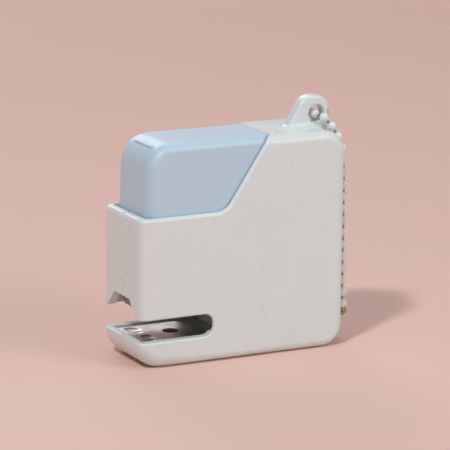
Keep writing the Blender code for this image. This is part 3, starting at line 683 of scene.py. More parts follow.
near_half = make_housing_half("housing_half_near", -1)
far_half = make_housing_half("housing_half_far", 1)
bpy.data.objects.remove(housing_solid)
for half, node in ((near_half, "housing_right"), (far_half, "housing_left")):
    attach(half, "housing")
    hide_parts(node)

# %% [markdown]
# ## The press button
# The button is a hollow cap whose shape follows a rule: seen from above it is a rectangle with round
# corners, and towards the top its sides draw in along a 2.2 mm arc while its front draws in along a
# larger 7 mm one. Stacking such rectangles makes the smooth thumb surface in one go, where bevels would
# fight each other at the corners. A second stack inside, one wall thinner, closes it at the foot.

# %% Press button
BUTTON_FOOT, BUTTON_BACK, BUTTON_HALF, BUTTON_TOP = 34.0, 37.9, 9.5, HEIGHT
BUTTON_FRONT, BUTTON_DRAFT, BUTTON_WALL = 2.75, 0.6, 1.4
THUMB_ROUND, SIDE_ROUND, BACK_ROUND = 7.0, 2.2, 0.35
SOCKET_X, BLADE_SCREW_Z = 29.5, 46.0


def draw_in(z, top, radius):
    """How far an arc of this radius has drawn in at a height."""
    below = max(0.0, z - (top - radius))
    return radius - math.sqrt(max(0.0, radius * radius - below * below))


def button_ring(z, wall):
    """The cap's outline at a height, as (x, y) points, drawn in by a wall."""
    top = BUTTON_TOP - wall
    lean = BUTTON_DRAFT * (z - BUTTON_FOOT) / (BUTTON_TOP - BUTTON_FOOT)
    front = BUTTON_FRONT + lean + wall + draw_in(z, top, THUMB_ROUND - wall)
    side_in = draw_in(z, top, SIDE_ROUND - wall * 0.5)
    half = BUTTON_HALF - wall - side_in
    back = BUTTON_BACK - wall - draw_in(z, top, BACK_ROUND)
    corner = max(3.0 - wall - side_in * 0.75, 0.8)
    return rounded([(front, -half, corner), (back, -half, corner), (back, half, corner),
                    (front, half, corner)], steps=12)


def button_levels(top):
    """Heights that follow both arcs closely near the top."""
    large = [top - THUMB_ROUND * (1 - math.sin(i * math.pi / 36)) for i in range(1, 18)]
    small = [top - SIDE_ROUND * (1 - math.sin(i * math.pi / 20)) for i in range(1, 10)]
    return sorted({round(z, 3) for z in [BUTTON_FOOT, 38.0, 44.0, *large, *small, top]})


def make_button_cap():
    work = bmesh.new()
    rims = []
    for wall in (0.0, BUTTON_WALL):
        rings = [[work.verts.new(at(u, v, z)) for u, v in button_ring(z, wall)]
                 for z in button_levels(BUTTON_TOP - wall)]
        for lower, upper in zip(rings, rings[1:]):
            for i in range(len(lower)):
                work.faces.new((lower[i - 1], lower[i], upper[i], upper[i - 1]))
        work.faces.new(rings[-1])
        rims.append(rings[0])
    for i in range(len(rims[0])):
        work.faces.new((rims[0][i - 1], rims[0][i], rims[1][i], rims[1][i - 1]))
    cap = new_piece("press_button_cap", finish_mesh(work, "press_button_cap"))
    mount = block("blade_mount", (5.75, -5.0, 40.0), (11.5, 5.0, BUTTON_TOP - 1.0))
    soften(mount, lambda x, y, z, concave: 0.5 if z < 50 else 0, 0.5, segments=2)
    socket = bar("spring_socket", (SOCKET_X, 0, 50.0), (SOCKET_X, 0, BUTTON_TOP - 1.0), 5.6, sides=48)
    hooks = [block("hook", (36.9, low, 33.6), (39.0, high, 34.7)) for low, high in ((-9.2, -7.7), (7.7, 9.2))]
    join(cap, mount, socket, *hooks)
    cut(cap, bar("socket_bore", (SOCKET_X, 0, 40.0), (SOCKET_X, 0, 54.0), 4.5, sides=48),
        bar("screw_bore", (4.95, 0, BLADE_SCREW_Z), (12.5, 0, BLADE_SCREW_Z), 1.4, sides=24),
        bar("screw_seat", (10.4, 0, BLADE_SCREW_Z), (12.5, 0, BLADE_SCREW_Z), 2.3, sides=32))
    smooth(cap, 35)
    paint(cap, blue_abs)
    return cap


button_cap = make_button_cap()
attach(button_cap, "button")
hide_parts("press_button")
print("button faces:", len(button_cap.data.polygons))

# %% [markdown]
# ## The anvil plate
# The anvil is punched from 0.8 mm strip steel. Two pressed hollows near its front turn the staple's
# legs inwards, a round hole further back locates it in the jaw, and a pin hole beside the hollows holds
# it in the press tool. A pressed hollow has a soft rim, so we push a fine grid of points down by a
# smooth rule instead of cutting a sharp bowl.

# %% Anvil plate
PLATE_X, PLATE_END, PLATE_HALF = 2.1, 24.9, 8.3
PLATE_TOP, PLATE_THICK = 6.5, 0.8
GROOVES = ((5.6, -4.1, 0.10), (5.6, 4.1, -0.10))
GROOVE_LONG, GROOVE_WIDE, GROOVE_DEEP = 3.2, 1.9, 0.62


def groove_depth(x, y):
    """How deep the two staple-forming hollows are at a place: each has a soft rim and a ridge."""
    depth = 0.0
    for centre_x, centre_y, lean in GROOVES:
        along = y - centre_y
        across = (x - centre_x) - lean * along
        reach = (across / GROOVE_WIDE) ** 2 + (along / GROOVE_LONG) ** 2
        if reach < 1:
            ridge = 1 - 0.45 * math.exp(-(along / 0.55) ** 2)
            depth = max(depth, GROOVE_DEEP * (1 - reach) ** 0.65 * ridge)
    return depth


def make_anvil_plate():
    """A grid plate with its hollows pressed in, then its holes cut through."""
    columns, rows = 96, 112
    work = bmesh.new()
    top = []
    for i in range(columns + 1):
        x = PLATE_X + (PLATE_END - PLATE_X) * i / columns
        top.append([work.verts.new(at(x, -PLATE_HALF + 2 * PLATE_HALF * j / rows, PLATE_TOP))
                    for j in range(rows + 1)])
    for i in range(columns):
        for j in range(rows):
            work.faces.new((top[i][j], top[i + 1][j], top[i + 1][j + 1], top[i][j + 1]))
    shell = bmesh.ops.extrude_face_region(work, geom=work.faces[:])
    lowered = [item for item in shell["geom"] if isinstance(item, bmesh.types.BMVert)]
    bmesh.ops.translate(work, vec=(0, 0, -PLATE_THICK * MM), verts=lowered)
    for row in top:
        for corner in row:
            x, y = (corner.co.x - FRONT) / MM, corner.co.y / MM
            corner.co.z -= groove_depth(x, y) * MM
    plate = new_piece("anvil_plate_pressed", finish_mesh(work, "anvil_plate_pressed"))
    cut(plate, bar("plate_hole", (13.9, 0, 0), (13.9, 0, 12), 2.15, sides=48),
        bar("pin_hole", (4.0, -1.0, 0), (4.0, -1.0, 12), 0.35, sides=20))
    outline = rounded([(PLATE_X, -PLATE_HALF, 0.8), (PLATE_END, -PLATE_HALF, 0.8),
                       (PLATE_END, PLATE_HALF, 0.8), (PLATE_X, PLATE_HALF, 0.8)], steps=6)
    combine(plate, "INTERSECT", [prism("plate_blank", outline, 2, 9, across="z")])
    smooth(plate, 35)
    paint(plate, anvil_steel)
    return plate


anvil = make_anvil_plate()
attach(anvil, "housing")
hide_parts("anvil_plate")
print("anvil faces:", len(anvil.data.polygons))

# %% [markdown]
# ## The magazine channel
# The magazine is a folded steel channel that hangs on two pins at the back. At the front the sheet
# turns down across the staple path as a narrow tongue with round corners, and its tip is what shows
# through the front window. Each side carries a long pressed rib that stiffens it, and a small square
# lance where the inner rail is fixed.

# %% Magazine channel
CHANNEL_HALF, CHANNEL_WALL, CHANNEL_FOOT, CHANNEL_TOP = 7.3, 0.8, 13.9, 21.6
NOSE_X = 2.9


def magazine_edge(x, y, z, concave):
    if concave:
        return 0
    if x < NOSE_X + 0.1 and z > CHANNEL_TOP - 0.3:
        return 0.25
    return 0.18 if abs(y) > CHANNEL_HALF - 0.1 or x < NOSE_X + 0.1 else 0.1


def make_magazine():
    side_view = rounded([(NOSE_X, CHANNEL_FOOT, 0.35), (PIVOT_X + 2.4, CHANNEL_FOOT, 2.3),
                         (PIVOT_X + 2.4, CHANNEL_TOP, 2.3), (NOSE_X, CHANNEL_TOP, 0.6)], steps=8)
    channel = prism("magazine_channel_folded", side_view, -CHANNEL_HALF, CHANNEL_HALF)
    inner = CHANNEL_HALF - CHANNEL_WALL
    cut(channel, block("channel_hollow", (NOSE_X + 0.7, -inner, CHANNEL_FOOT + CHANNEL_WALL),
                       (70, inner, 32)),
        block("staple_exit", (NOSE_X + 0.8, -6.4, 8), (6.9, 6.4, 20)))
    for side in (-1, 1):
        corner = [(side * 4.1, CHANNEL_FOOT - 1), (side * 12, CHANNEL_FOOT - 1), (side * 12, 17.2),
                  (side * 5.6, 15.6), (side * 5.1, 15.1), (side * 4.6, 14.3), (side * 4.3, 14.0)]
        cut(channel, prism("tongue_corner", corner, NOSE_X - 1, 4.2, across="x"),
            bar("pin_hole", (PIVOT_X, side * 5, PIVOT_Z), (PIVOT_X, side * 9, PIVOT_Z), 1.5, sides=24))
        rib = rounded([(12.0, 16.8, 0.5), (44.0, 16.8, 0.5), (44.0, 17.9, 0.5), (12.0, 17.9, 0.5)],
                      steps=5)
        cut(channel, prism("side_rib", rib, side * (CHANNEL_HALF - 0.22), side * (CHANNEL_HALF + 1)),
            block("rail_lance", (47.0, min(side * 6.4, side * 8), 18.6),
                  (48.6, max(side * 6.4, side * 8), 20.0)))
    soften(channel, magazine_edge, 0.25, segments=3)
    smooth(channel, 35)
    paint(channel, magazine_steel)
    return channel


magazine = make_magazine()
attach(magazine, "magazine")
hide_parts("magazine_channel")
print("magazine faces:", len(magazine.data.polygons))

# %% [markdown]
# ## The loading pull
# The cap in the back wall is moulded in the button's colour. A finger groove runs across it with five
# fine ribs that stop a nail from slipping, and its edges are rounded so that it slides past the wall.

# %% Loading pull
CAP_X, CAP_HALF, CAP_FOOT, CAP_TOP = 56.9, 6.4, 14.45, 21.75


def make_loading_pull():
    middle_z = (CAP_FOOT + CAP_TOP) / 2
    outline = rounded([(-CAP_HALF, CAP_FOOT, 1.0), (CAP_HALF, CAP_FOOT, 1.0), (CAP_HALF, CAP_TOP, 1.0),
                       (-CAP_HALF, CAP_TOP, 1.0)], steps=6)
    cap = prism("loading_pull_cap", outline, CAP_X, LENGTH, across="x")
    cut(cap, bar("finger_groove", (LENGTH + 1.2, -4.4, middle_z), (LENGTH + 1.2, 4.4, middle_z), 1.9,
                 sides=48))
    ribs = [block("grip_rib", (LENGTH - 1.0, -3.3 + 1.5 * i, middle_z - 1.3),
                  (LENGTH - 0.45, -2.7 + 1.5 * i, middle_z + 1.3)) for i in range(5)]
    join(cap, *ribs)
    cut(cap, bar("rod_socket", (CAP_X - 1, 0, 17.8), (CAP_X + 0.9, 0, 17.8), 1.2, sides=24))
    soften(cap, lambda x, y, z, concave: 0 if concave else 0.3 if x > LENGTH - 0.05 else 0.08, 0.3,
           segments=3)
    smooth(cap, 35)
    paint(cap, blue_abs)
    return cap


loading_cap = make_loading_pull()
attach(loading_cap, "loading_slide")
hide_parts("loading_pull")
print("loading cap faces:", len(loading_cap.data.polygons))

# %% [markdown]
# ## Geometry Nodes for what repeats
# Staples, springs, screws and chain beads are one small shape made many times or swept along a path,
# so each gets a small node tree with named sizes. Two helpers keep this short. One starts a tree
# with its inputs. The other puts the tree on an object, sets each input by its identifier, and bakes
# the result to a plain mesh at the origin. Every tree ends by realising its instances and setting
# its materials.

# %% Geometry Nodes helpers
def new_tree(name, inputs):
    """A geometry node group with an output, a geometry input and named number inputs."""
    tree = bpy.data.node_groups.new(name, "GeometryNodeTree")
    tree.interface.new_socket("Geometry", in_out="INPUT", socket_type="NodeSocketGeometry")
    for label, kind in inputs.items():
        tree.interface.new_socket(label, in_out="INPUT", socket_type=kind)
    tree.interface.new_socket("Geometry", in_out="OUTPUT", socket_type="NodeSocketGeometry")
    entry = add_node(tree, "NodeGroupInput")
    return tree, entry.outputs


def end_tree(tree, geometry):
    """Realise the instances and hand the geometry out."""
    real = add_node(tree, "GeometryNodeRealizeInstances", {"Geometry": geometry})
    add_node(tree, "NodeGroupOutput", {"Geometry": real.outputs["Geometry"]})


def keep_used_materials(mesh):
    """Drop the empty material slots that boolean nodes leave behind."""
    indices = [face.material_index for face in mesh.polygons]
    used = sorted(set(indices))
    kept = [mesh.materials[index] for index in used]
    mesh.materials.clear()
    for material in kept:
        mesh.materials.append(material)
    mesh.polygons.foreach_set("material_index", [used.index(index) for index in indices])


def grow(name, tree, values, start=None):
    """A plain mesh piece grown by a tree from a start mesh or curve, with inputs set by identifier."""
    data = start or bpy.data.meshes.new(name + "_seed")
    grower = bpy.data.objects.new(name + "_grower", data)
    bpy.context.scene.collection.objects.link(grower)
    modifier = grower.modifiers.new("Grow", "NODES")
    modifier.node_group = tree
    for item in tree.interface.items_tree:
        if item.in_out == "INPUT" and item.name in values:
            modifier[item.identifier] = values[item.name]
    bpy.context.view_layer.update()
    evaluated = grower.evaluated_get(bpy.context.evaluated_depsgraph_get())
    mesh = bpy.data.meshes.new_from_object(evaluated)
    mesh.name = name
    bpy.data.objects.remove(grower)
    keep_used_materials(mesh)
    piece = bpy.data.objects.new(name, mesh)
    bpy.context.scene.collection.objects.link(piece)
    return piece


LENGTH_SOCKET, COUNT_SOCKET = "NodeSocketFloat", "NodeSocketInt"


def weld(piece, distance=0.000001):
    """Merge doubles and turn every face outwards."""
    work = bmesh.new()
    work.from_mesh(piece.data)
    bmesh.ops.remove_doubles(work, verts=work.verts, dist=distance)
    bmesh.ops.recalc_face_normals(work, faces=work.faces)
    work.to_mesh(piece.data)
    work.free()


# %% [markdown]
# ## Springs
# A compression spring is round wire wound on a mandrel: an even pitch in the middle and a close turn at
# each end, ground flat, so that it stands square. In the tree a Spiral curve gives the turns, Set
# Position remaps the height so that the end turns close up, and Curve to Mesh lays the wire on it.

# %% Springs
spring_tree, sizes = new_tree("wound_spring", {"Radius": LENGTH_SOCKET, "Wire": LENGTH_SOCKET,
                                               "Turns": LENGTH_SOCKET, "Length": LENGTH_SOCKET})
spiral = add_node(spring_tree, "GeometryNodeCurveSpiral", {
    "Resolution": 36, "Rotations": sizes["Turns"], "Start Radius": sizes["Radius"],
    "End Radius": sizes["Radius"], "Height": 1.0})
place = add_node(spring_tree, "GeometryNodeInputPosition").outputs[0]
split = add_node(spring_tree, "ShaderNodeSeparateXYZ", {0: place})
closed_share = add_node(spring_tree, "ShaderNodeMath", {0: 0.9, 1: sizes["Turns"]},
                        operation="DIVIDE").outputs[0]
open_share = add_node(spring_tree, "ShaderNodeMath", {0: 1.0, 1: closed_share},
                      operation="SUBTRACT").outputs[0]
free_rise = add_node(spring_tree, "ShaderNodeMapRange", {
    "Value": split.outputs["Z"], "From Min": closed_share, "From Max": open_share},
    interpolation_type="SMOOTHSTEP").outputs["Result"]
even_rise = add_node(spring_tree, "ShaderNodeMapRange", {
    "Value": split.outputs["Z"], "From Min": closed_share, "From Max": open_share}).outputs["Result"]
rise = add_node(spring_tree, "ShaderNodeMix", {0: 0.25, 2: even_rise, 3: free_rise}).outputs[0]
closed_lengths = add_node(spring_tree, "ShaderNodeMath", {0: sizes["Wire"], 1: 3.0},
                          operation="MULTIPLY").outputs[0]
free_length = add_node(spring_tree, "ShaderNodeMath", {0: sizes["Length"], 1: closed_lengths},
                       operation="SUBTRACT").outputs[0]
risen = add_node(spring_tree, "ShaderNodeMath", {0: rise, 1: free_length},
                 operation="MULTIPLY").outputs[0]
end_turns = add_node(spring_tree, "ShaderNodeMath", {0: split.outputs["Z"], 1: 2.0},
                     operation="MULTIPLY").outputs[0]
end_turns = add_node(spring_tree, "ShaderNodeMath", {0: end_turns, 1: 0.5}, operation="ADD").outputs[0]
end_rise = add_node(spring_tree, "ShaderNodeMath", {0: end_turns, 1: sizes["Wire"]},
                    operation="MULTIPLY").outputs[0]
height = add_node(spring_tree, "ShaderNodeMath", {0: risen, 1: end_rise}, operation="ADD").outputs[0]
lifted = add_node(spring_tree, "ShaderNodeCombineXYZ",
                  {"X": split.outputs["X"], "Y": split.outputs["Y"], "Z": height})
wound = add_node(spring_tree, "GeometryNodeSetPosition", {"Geometry": spiral.outputs["Curve"],
                                                          "Position": lifted.outputs[0]})
wire_radius = add_node(spring_tree, "ShaderNodeMath", {0: sizes["Wire"], 1: 0.5},
                       operation="MULTIPLY").outputs[0]
wire_round = add_node(spring_tree, "GeometryNodeCurvePrimitiveCircle",
                      {"Resolution": 10, "Radius": wire_radius})
wire = add_node(spring_tree, "GeometryNodeCurveToMesh", {"Curve": wound.outputs["Geometry"],
                                                         "Profile Curve": wire_round.outputs["Curve"],
                                                         "Fill Caps": True})
shaded = add_node(spring_tree, "GeometryNodeSetShadeSmooth", {"Geometry": wire.outputs["Mesh"]})
wire_paint = add_node(spring_tree, "GeometryNodeSetMaterial", {"Geometry": shaded.outputs["Geometry"],
                                                               "Material": spring_steel})
end_tree(spring_tree, wire_paint.outputs["Geometry"])

SPRINGS = {  # node: foot, direction, length, mean radius, wire, turns, body, joint, kept share
    "press_spring": ((SOCKET_X, 0, 23.8), (0, 0, 1), 29.9, 3.9, 0.65, 9.0, "button", "button_press", 0.61),
    "lift_spring": ((36.0, 0, 2.1), (0, 0, 1), 11.5, 2.9, 0.7, 5.0, "housing", "magazine_dip", 0.74),
    "pusher_spring": ((26.4, 0, 17.8), (1, 0, 0), 30.2, 1.55, 0.4, 12.0, "loading_slide", "pusher_feed",
                      0.40)}
for node, (foot, direction, length, radius, wire_size, turns, body, joint, kept) in SPRINGS.items():
    spring = grow(node + "_coil", spring_tree, {"Radius": radius * MM, "Wire": wire_size * MM,
                                                "Turns": turns, "Length": length * MM})
    upright = Vector(direction).to_track_quat("Z", "Y").to_matrix().to_4x4()
    spring.data.transform(Matrix.Translation(at(*foot)) @ upright)
    weld(spring)
    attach(spring, body)
    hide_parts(node)
    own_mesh(spring)
    print(node, "faces:", len(spring.data.polygons))

# %% [markdown]
# ## The staple strip
# The strip is two dozen or so staples bent from wire and glued side by side. Each is half a millimetre wide,
# with soft bends at the crown. The tree draws one staple as three straight lines, gives them a nearly
# square wire section with rounded corners, and sets one at each step along the strip, so the joints
# between staples show as fine lines.

# %% Staple strip
staple_tree, sizes = new_tree("glued_staples", {"Half width": LENGTH_SOCKET, "Leg": LENGTH_SOCKET,
                                                "Wire": LENGTH_SOCKET, "Pitch": LENGTH_SOCKET,
                                                "Count": COUNT_SOCKET})
minus_half, minus_leg, section_width = [
    add_node(staple_tree, "ShaderNodeMath", {0: sizes[size], 1: share}, operation="MULTIPLY").outputs[0]
    for size, share in (("Half width", -1.0), ("Leg", -1.0), ("Wire", 0.94))]
legs = [add_node(staple_tree, "ShaderNodeCombineXYZ", {"Y": side, "Z": minus_leg}).outputs[0]
        for side in (minus_half, sizes["Half width"])]
bends = [add_node(staple_tree, "ShaderNodeCombineXYZ", {"Y": side}).outputs[0]
         for side in (minus_half, sizes["Half width"])]
lines = [add_node(staple_tree, "GeometryNodeCurvePrimitiveLine", {"Start": a, "End": b}).outputs["Curve"]
         for a, b in ((legs[0], bends[0]), (bends[0], bends[1]), (bends[1], legs[1]))]
line_group = add_node(staple_tree, "GeometryNodeJoinGeometry")
for line in lines:
    staple_tree.links.new(line, line_group.inputs[0])
section = add_node(staple_tree, "GeometryNodeCurvePrimitiveQuadrilateral", {"Width": section_width,
                                                                            "Height": sizes["Wire"]})
fillet = add_node(staple_tree, "GeometryNodeFilletCurve", {"Curve": section.outputs["Curve"], "Count": 2,
                                                           "Radius": 0.12 * MM}, mode="POLY")
one_staple = add_node(staple_tree, "GeometryNodeCurveToMesh", {"Curve": line_group.outputs[0],
                                                               "Profile Curve": fillet.outputs["Curve"],
                                                               "Fill Caps": True})
step = add_node(staple_tree, "ShaderNodeCombineXYZ", {"X": sizes["Pitch"]}).outputs[0]
row = add_node(staple_tree, "GeometryNodeMeshLine", {"Count": sizes["Count"], "Offset": step},
               mode="OFFSET")
stapled = add_node(staple_tree, "GeometryNodeInstanceOnPoints", {"Points": row.outputs["Mesh"],
                                                                 "Instance": one_staple.outputs["Mesh"]})
wired = add_node(staple_tree, "GeometryNodeSetMaterial", {"Geometry": stapled.outputs["Instances"],
                                                          "Material": staple_wire})
end_tree(staple_tree, wired.outputs["Geometry"])

WIRE, STAPLE_HALF, STAPLE_CROWN, STAPLE_FOOT, STAPLE_COUNT = 0.5, 6.35, 21.0, 15.0, 26
strip = grow("staple_strip_glued", staple_tree, {
    "Half width": (STAPLE_HALF - WIRE / 2) * MM, "Leg": (STAPLE_CROWN - WIRE / 2 - STAPLE_FOOT) * MM,
    "Wire": WIRE * MM, "Pitch": WIRE * MM, "Count": STAPLE_COUNT})
strip.data.transform(Matrix.Translation(at(5.8 + WIRE / 2, 0, STAPLE_CROWN - WIRE / 2)))
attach(strip, "magazine")
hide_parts("staple_strip")
low, high = [Vector(corner) for corner in (min((v.co for v in strip.data.vertices), key=lambda c: c.x),
                                            max((v.co for v in strip.data.vertices), key=lambda c: c.x))]
print("staples from", round((low.x - FRONT) / MM, 2), "to", round((high.x - FRONT) / MM, 2), "mm")

# %% [markdown]
# ## Housing screws
# Three pan-head self-tapping screws hold the halves together from the far side, each sunk in a seat.
# The head is a domed disc with a cross recess, and the shank carries a coarse plastic thread. The tree
# makes one screw and sets it on the three bosses.

# %% Housing screws
screw_tree, sizes = new_tree("cross_screws", {"Head": LENGTH_SOCKET, "Shank": LENGTH_SOCKET,
                                              "Reach": LENGTH_SOCKET})
disc = add_node(screw_tree, "GeometryNodeMeshUVSphere",
                {"Segments": 40, "Rings": 20, "Radius": sizes["Head"]})
domed = add_node(screw_tree, "GeometryNodeTransform",
                 {"Geometry": disc.outputs["Mesh"], "Scale": (1, 1, 0.66)})
keep_top = add_node(screw_tree, "GeometryNodeMeshCube", {"Size": (0.02, 0.02, 0.01)})
keep_top = add_node(screw_tree, "GeometryNodeTransform", {"Geometry": keep_top.outputs["Mesh"],
                                                          "Translation": (0, 0, 0.005)})
head = add_node(screw_tree, "GeometryNodeMeshBoolean", {1: domed.outputs["Geometry"]},
                operation="INTERSECT")
screw_tree.links.new(keep_top.outputs["Geometry"], head.inputs[1])
arms = []
for long_way in ((2.6, 0.52, 1.2), (0.52, 2.6, 1.2)):
    arm = add_node(screw_tree, "GeometryNodeMeshCube", {"Size": [size * MM for size in long_way]})
    arms.append(add_node(screw_tree, "GeometryNodeTransform", {"Geometry": arm.outputs["Mesh"],
                                                               "Translation": (0, 0, 1.35 * MM)}))
recessed = add_node(screw_tree, "GeometryNodeMeshBoolean", {0: head.outputs["Mesh"]},
                    operation="DIFFERENCE")
for arm in arms:
    screw_tree.links.new(arm.outputs["Geometry"], recessed.inputs[1])
shank = add_node(screw_tree, "GeometryNodeMeshCylinder", {"Vertices": 24, "Radius": sizes["Shank"],
                                                          "Depth": sizes["Reach"]})
half_reach, minus_reach = [
    add_node(screw_tree, "ShaderNodeMath", {0: sizes["Reach"], 1: share}, operation="MULTIPLY").outputs[0]
    for share in (-0.49, -0.92)]
sunk = add_node(screw_tree, "ShaderNodeCombineXYZ", {"Z": half_reach}).outputs[0]
shank = add_node(screw_tree, "GeometryNodeTransform",
                 {"Geometry": shank.outputs["Mesh"], "Translation": sunk})
helix = add_node(screw_tree, "GeometryNodeCurveSpiral", {
    "Resolution": 24, "Rotations": 12.0, "Start Radius": sizes["Shank"], "End Radius": sizes["Shank"],
    "Height": minus_reach})
ridge = add_node(screw_tree, "GeometryNodeCurvePrimitiveCircle", {"Resolution": 3, "Radius": 0.22 * MM})
thread = add_node(screw_tree, "GeometryNodeCurveToMesh", {"Curve": helix.outputs["Curve"],
                                                          "Profile Curve": ridge.outputs["Curve"],
                                                          "Fill Caps": True})
whole = add_node(screw_tree, "GeometryNodeJoinGeometry")
for part in (recessed.outputs["Mesh"], shank.outputs["Geometry"], thread.outputs["Mesh"]):
    screw_tree.links.new(part, whole.inputs[0])
screwed = add_node(screw_tree, "GeometryNodeInstanceOnPoints", {"Points": sizes["Geometry"],
                                                                "Instance": whole.outputs[0]})
plated = add_node(screw_tree, "GeometryNodeSetMaterial", {"Geometry": screwed.outputs["Instances"],
                                                          "Material": screw_zinc})
end_tree(screw_tree, plated.outputs["Geometry"])

screw_points = bpy.data.meshes.new("screw_points")
screw_points.from_pydata([(x * MM, -z * MM, 0) for x, z in SCREW_PLACES], [], [])
screws = grow("housing_screws", screw_tree, {"Head": 2.2 * MM, "Shank": 1.05 * MM, "Reach": 15.6 * MM},
              screw_points)
towards_far_side = Matrix(((1, 0, 0), (0, 0, 1), (0, -1, 0))).to_4x4()
screws.data.transform(Matrix.Translation(at(0, 9.05, 0)) @ towards_far_side)
smooth(screws, 30)
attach(screws, "housing")
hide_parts("housing_screw_top", "housing_screw_rear", "housing_screw_base")
print("screw faces:", len(screws.data.polygons))

# %% [markdown]
# ## Baked enamel over brass
# Ball chain is rolled from brass strip and then sprayed white and baked. The enamel is glossy and a
# little uneven. It wears through on the collars, where beads knock each other, and the links between
# the beads stay bare and dull. Chips are about a third of a millimetre wide, so the noise that places
# them has that size.

# %% Enamel
def worn_enamel(name):
    made, tree, shader, places = new_material(name, "#E9EAE9", 0.32, ior=1.5)
    chips = add_node(tree, "ShaderNodeTexNoise", {"Vector": places, "Scale": 2600.0, "Detail": 3.0})
    worn = add_node(tree, "ShaderNodeMapRange", {"Value": chips.outputs["Fac"], "From Min": 0.70,
                                                 "From Max": 0.72}).outputs["Result"]
    tone = mixed(tree, drift(tree, places, 700.0, 0.0, 1.0), linear("#ECEDEC"), linear("#DEDEDB"))
    tree.links.new(mixed(tree, worn, tone, linear("#9A7C4C")), shader.inputs["Base Color"])
    bare = add_node(tree, "ShaderNodeMath", {0: worn, 1: 0.9}, operation="MULTIPLY")
    tree.links.new(bare.outputs[0], shader.inputs["Metallic"])
    tree.links.new(drift(tree, places, 900.0, 0.26, 0.44), shader.inputs["Roughness"])
    lumps = add_node(tree, "ShaderNodeTexNoise", {"Vector": places, "Scale": 1800.0, "Detail": 2.0})
    layer = add_node(tree, "ShaderNodeMath", {0: lumps.outputs["Fac"], 1: worn}, operation="SUBTRACT")
    bump = add_node(tree, "ShaderNodeBump",
                    {"Height": layer.outputs[0], "Strength": 0.3, "Distance": 0.00005})
    tree.links.new(bump.outputs["Normal"], shader.inputs["Normal"])
    return made


white_enamel = worn_enamel("white_baked_enamel")

# %% [markdown]
# ## The route of the ball chain
# A ball chain is limp. It hangs from the lug, lies against the back of the housing on both sides, and
# its two ends meet in a connector near the table. The route's places are those of the plain chain, made
# smooth and then stepped evenly.

# %% Chain route
BEAD, PITCH = 2.4, 3.2
CHAIN_PLACES = [
    (60.45, -7.45, 10.4), (60.3, -7.4, 16.0), (60.25, -7.35, 26.0), (60.25, -7.25, 36.0),
    (60.25, -7.1, 43.5), (60.25, -6.8, 47.2), (60.3, -5.95, 50.35), (60.15, -4.9, 53.4),
    (58.95, -4.25, 55.95), (57.6, -3.9, 57.9), (56.45, -3.5, 59.25), (55.3, -2.0, 59.95),
    (54.95, 0.0, 60.1), (55.3, 2.0, 59.95), (56.45, 3.5, 59.25), (57.6, 3.9, 57.9),
    (58.95, 4.25, 55.95), (60.15, 4.9, 53.4), (60.3, 5.95, 50.35), (60.25, 6.8, 47.2),
    (60.25, 7.1, 43.5), (60.25, 7.25, 36.0), (60.25, 7.35, 26.0), (60.3, 7.5, 16.0),
    (60.6, 7.0, 9.0), (60.9, 4.9, 4.4), (61.0, 2.2, 2.0), (60.95, -0.3, 1.45), (60.75, -2.1, 1.6)]


def smooth_route(places, spacing):
    """Even steps along a smooth (Catmull-Rom) curve through the places, in scene metres."""
    keys = [at(*place) for place in places]
    keys = [2 * keys[0] - keys[1]] + keys + [2 * keys[-1] - keys[-2]]
    fine = []
    for i in range(1, len(keys) - 2):
        a, b, c, d = keys[i - 1:i + 3]
        for step in range(12):
            t = step / 12
            fine.append(0.5 * (2 * b + (c - a) * t + (2 * a - 5 * b + 4 * c - d) * t ** 2
                               + (3 * b - a - 3 * c + d) * t ** 3))
    fine.append(keys[-2])
    total = sum((q - p).length for p, q in zip(fine, fine[1:]))
    count = round(total / (spacing * MM))
    route, walked, index = [fine[0]], 0.0, 0
    for step in range(1, count):
        target = total * step / count
        while walked + (fine[index + 1] - fine[index]).length < target:
            walked += (fine[index + 1] - fine[index]).length
            index += 1
        part = (target - walked) / (fine[index + 1] - fine[index]).length
        route.append(fine[index].lerp(fine[index + 1], part))
    route.append(fine[-1])
    return route, total


chain_route, chain_length = smooth_route(CHAIN_PLACES, PITCH)
print(f"chain {chain_length / MM:.1f} mm, {len(chain_route)} beads")

# %% [markdown]
# ## Beads and links
# Each bead is a hollow ball rolled from strip, so it has a slit where the strip's edges meet and a small
# collar round each hole. A thin link runs through the holes. The tree makes one bead, cuts its slit,
# sets it on every step of the route with its holes along the path, and turns each by its own random
# angle, because the beads are free to spin.

# %% Ball chain
chain_tree, sizes = new_tree("beads_on_links", {"Bead": LENGTH_SOCKET, "Link": LENGTH_SOCKET,
                                                "Slit": LENGTH_SOCKET, "Seed": COUNT_SOCKET})
path = add_node(chain_tree, "GeometryNodeMeshToCurve", {"Mesh": sizes["Geometry"]})
bead_radius, collar_radius, collar_depth, slit_shift = [
    add_node(chain_tree, "ShaderNodeMath", {0: sizes["Bead"], 1: share}, operation="MULTIPLY").outputs[0]
    for share in (0.5, 0.23, 0.955, 0.95)]
ball = add_node(chain_tree, "GeometryNodeMeshUVSphere",
                {"Segments": 24, "Rings": 14, "Radius": bead_radius})
collar = add_node(chain_tree, "GeometryNodeMeshCylinder", {"Vertices": 16, "Radius": collar_radius,
                                                           "Depth": collar_depth})
ball_and_collar = add_node(chain_tree, "GeometryNodeMeshBoolean", operation="UNION")
for part in (ball.outputs["Mesh"], collar.outputs["Mesh"]):
    chain_tree.links.new(part, ball_and_collar.inputs[1])
slit_size = add_node(chain_tree, "ShaderNodeCombineXYZ", {"X": sizes["Slit"], "Y": sizes["Bead"],
                                                          "Z": sizes["Bead"]}).outputs[0]
slit = add_node(chain_tree, "GeometryNodeMeshCube", {"Size": slit_size})
slit_place = add_node(chain_tree, "ShaderNodeCombineXYZ", {"Y": slit_shift}).outputs[0]
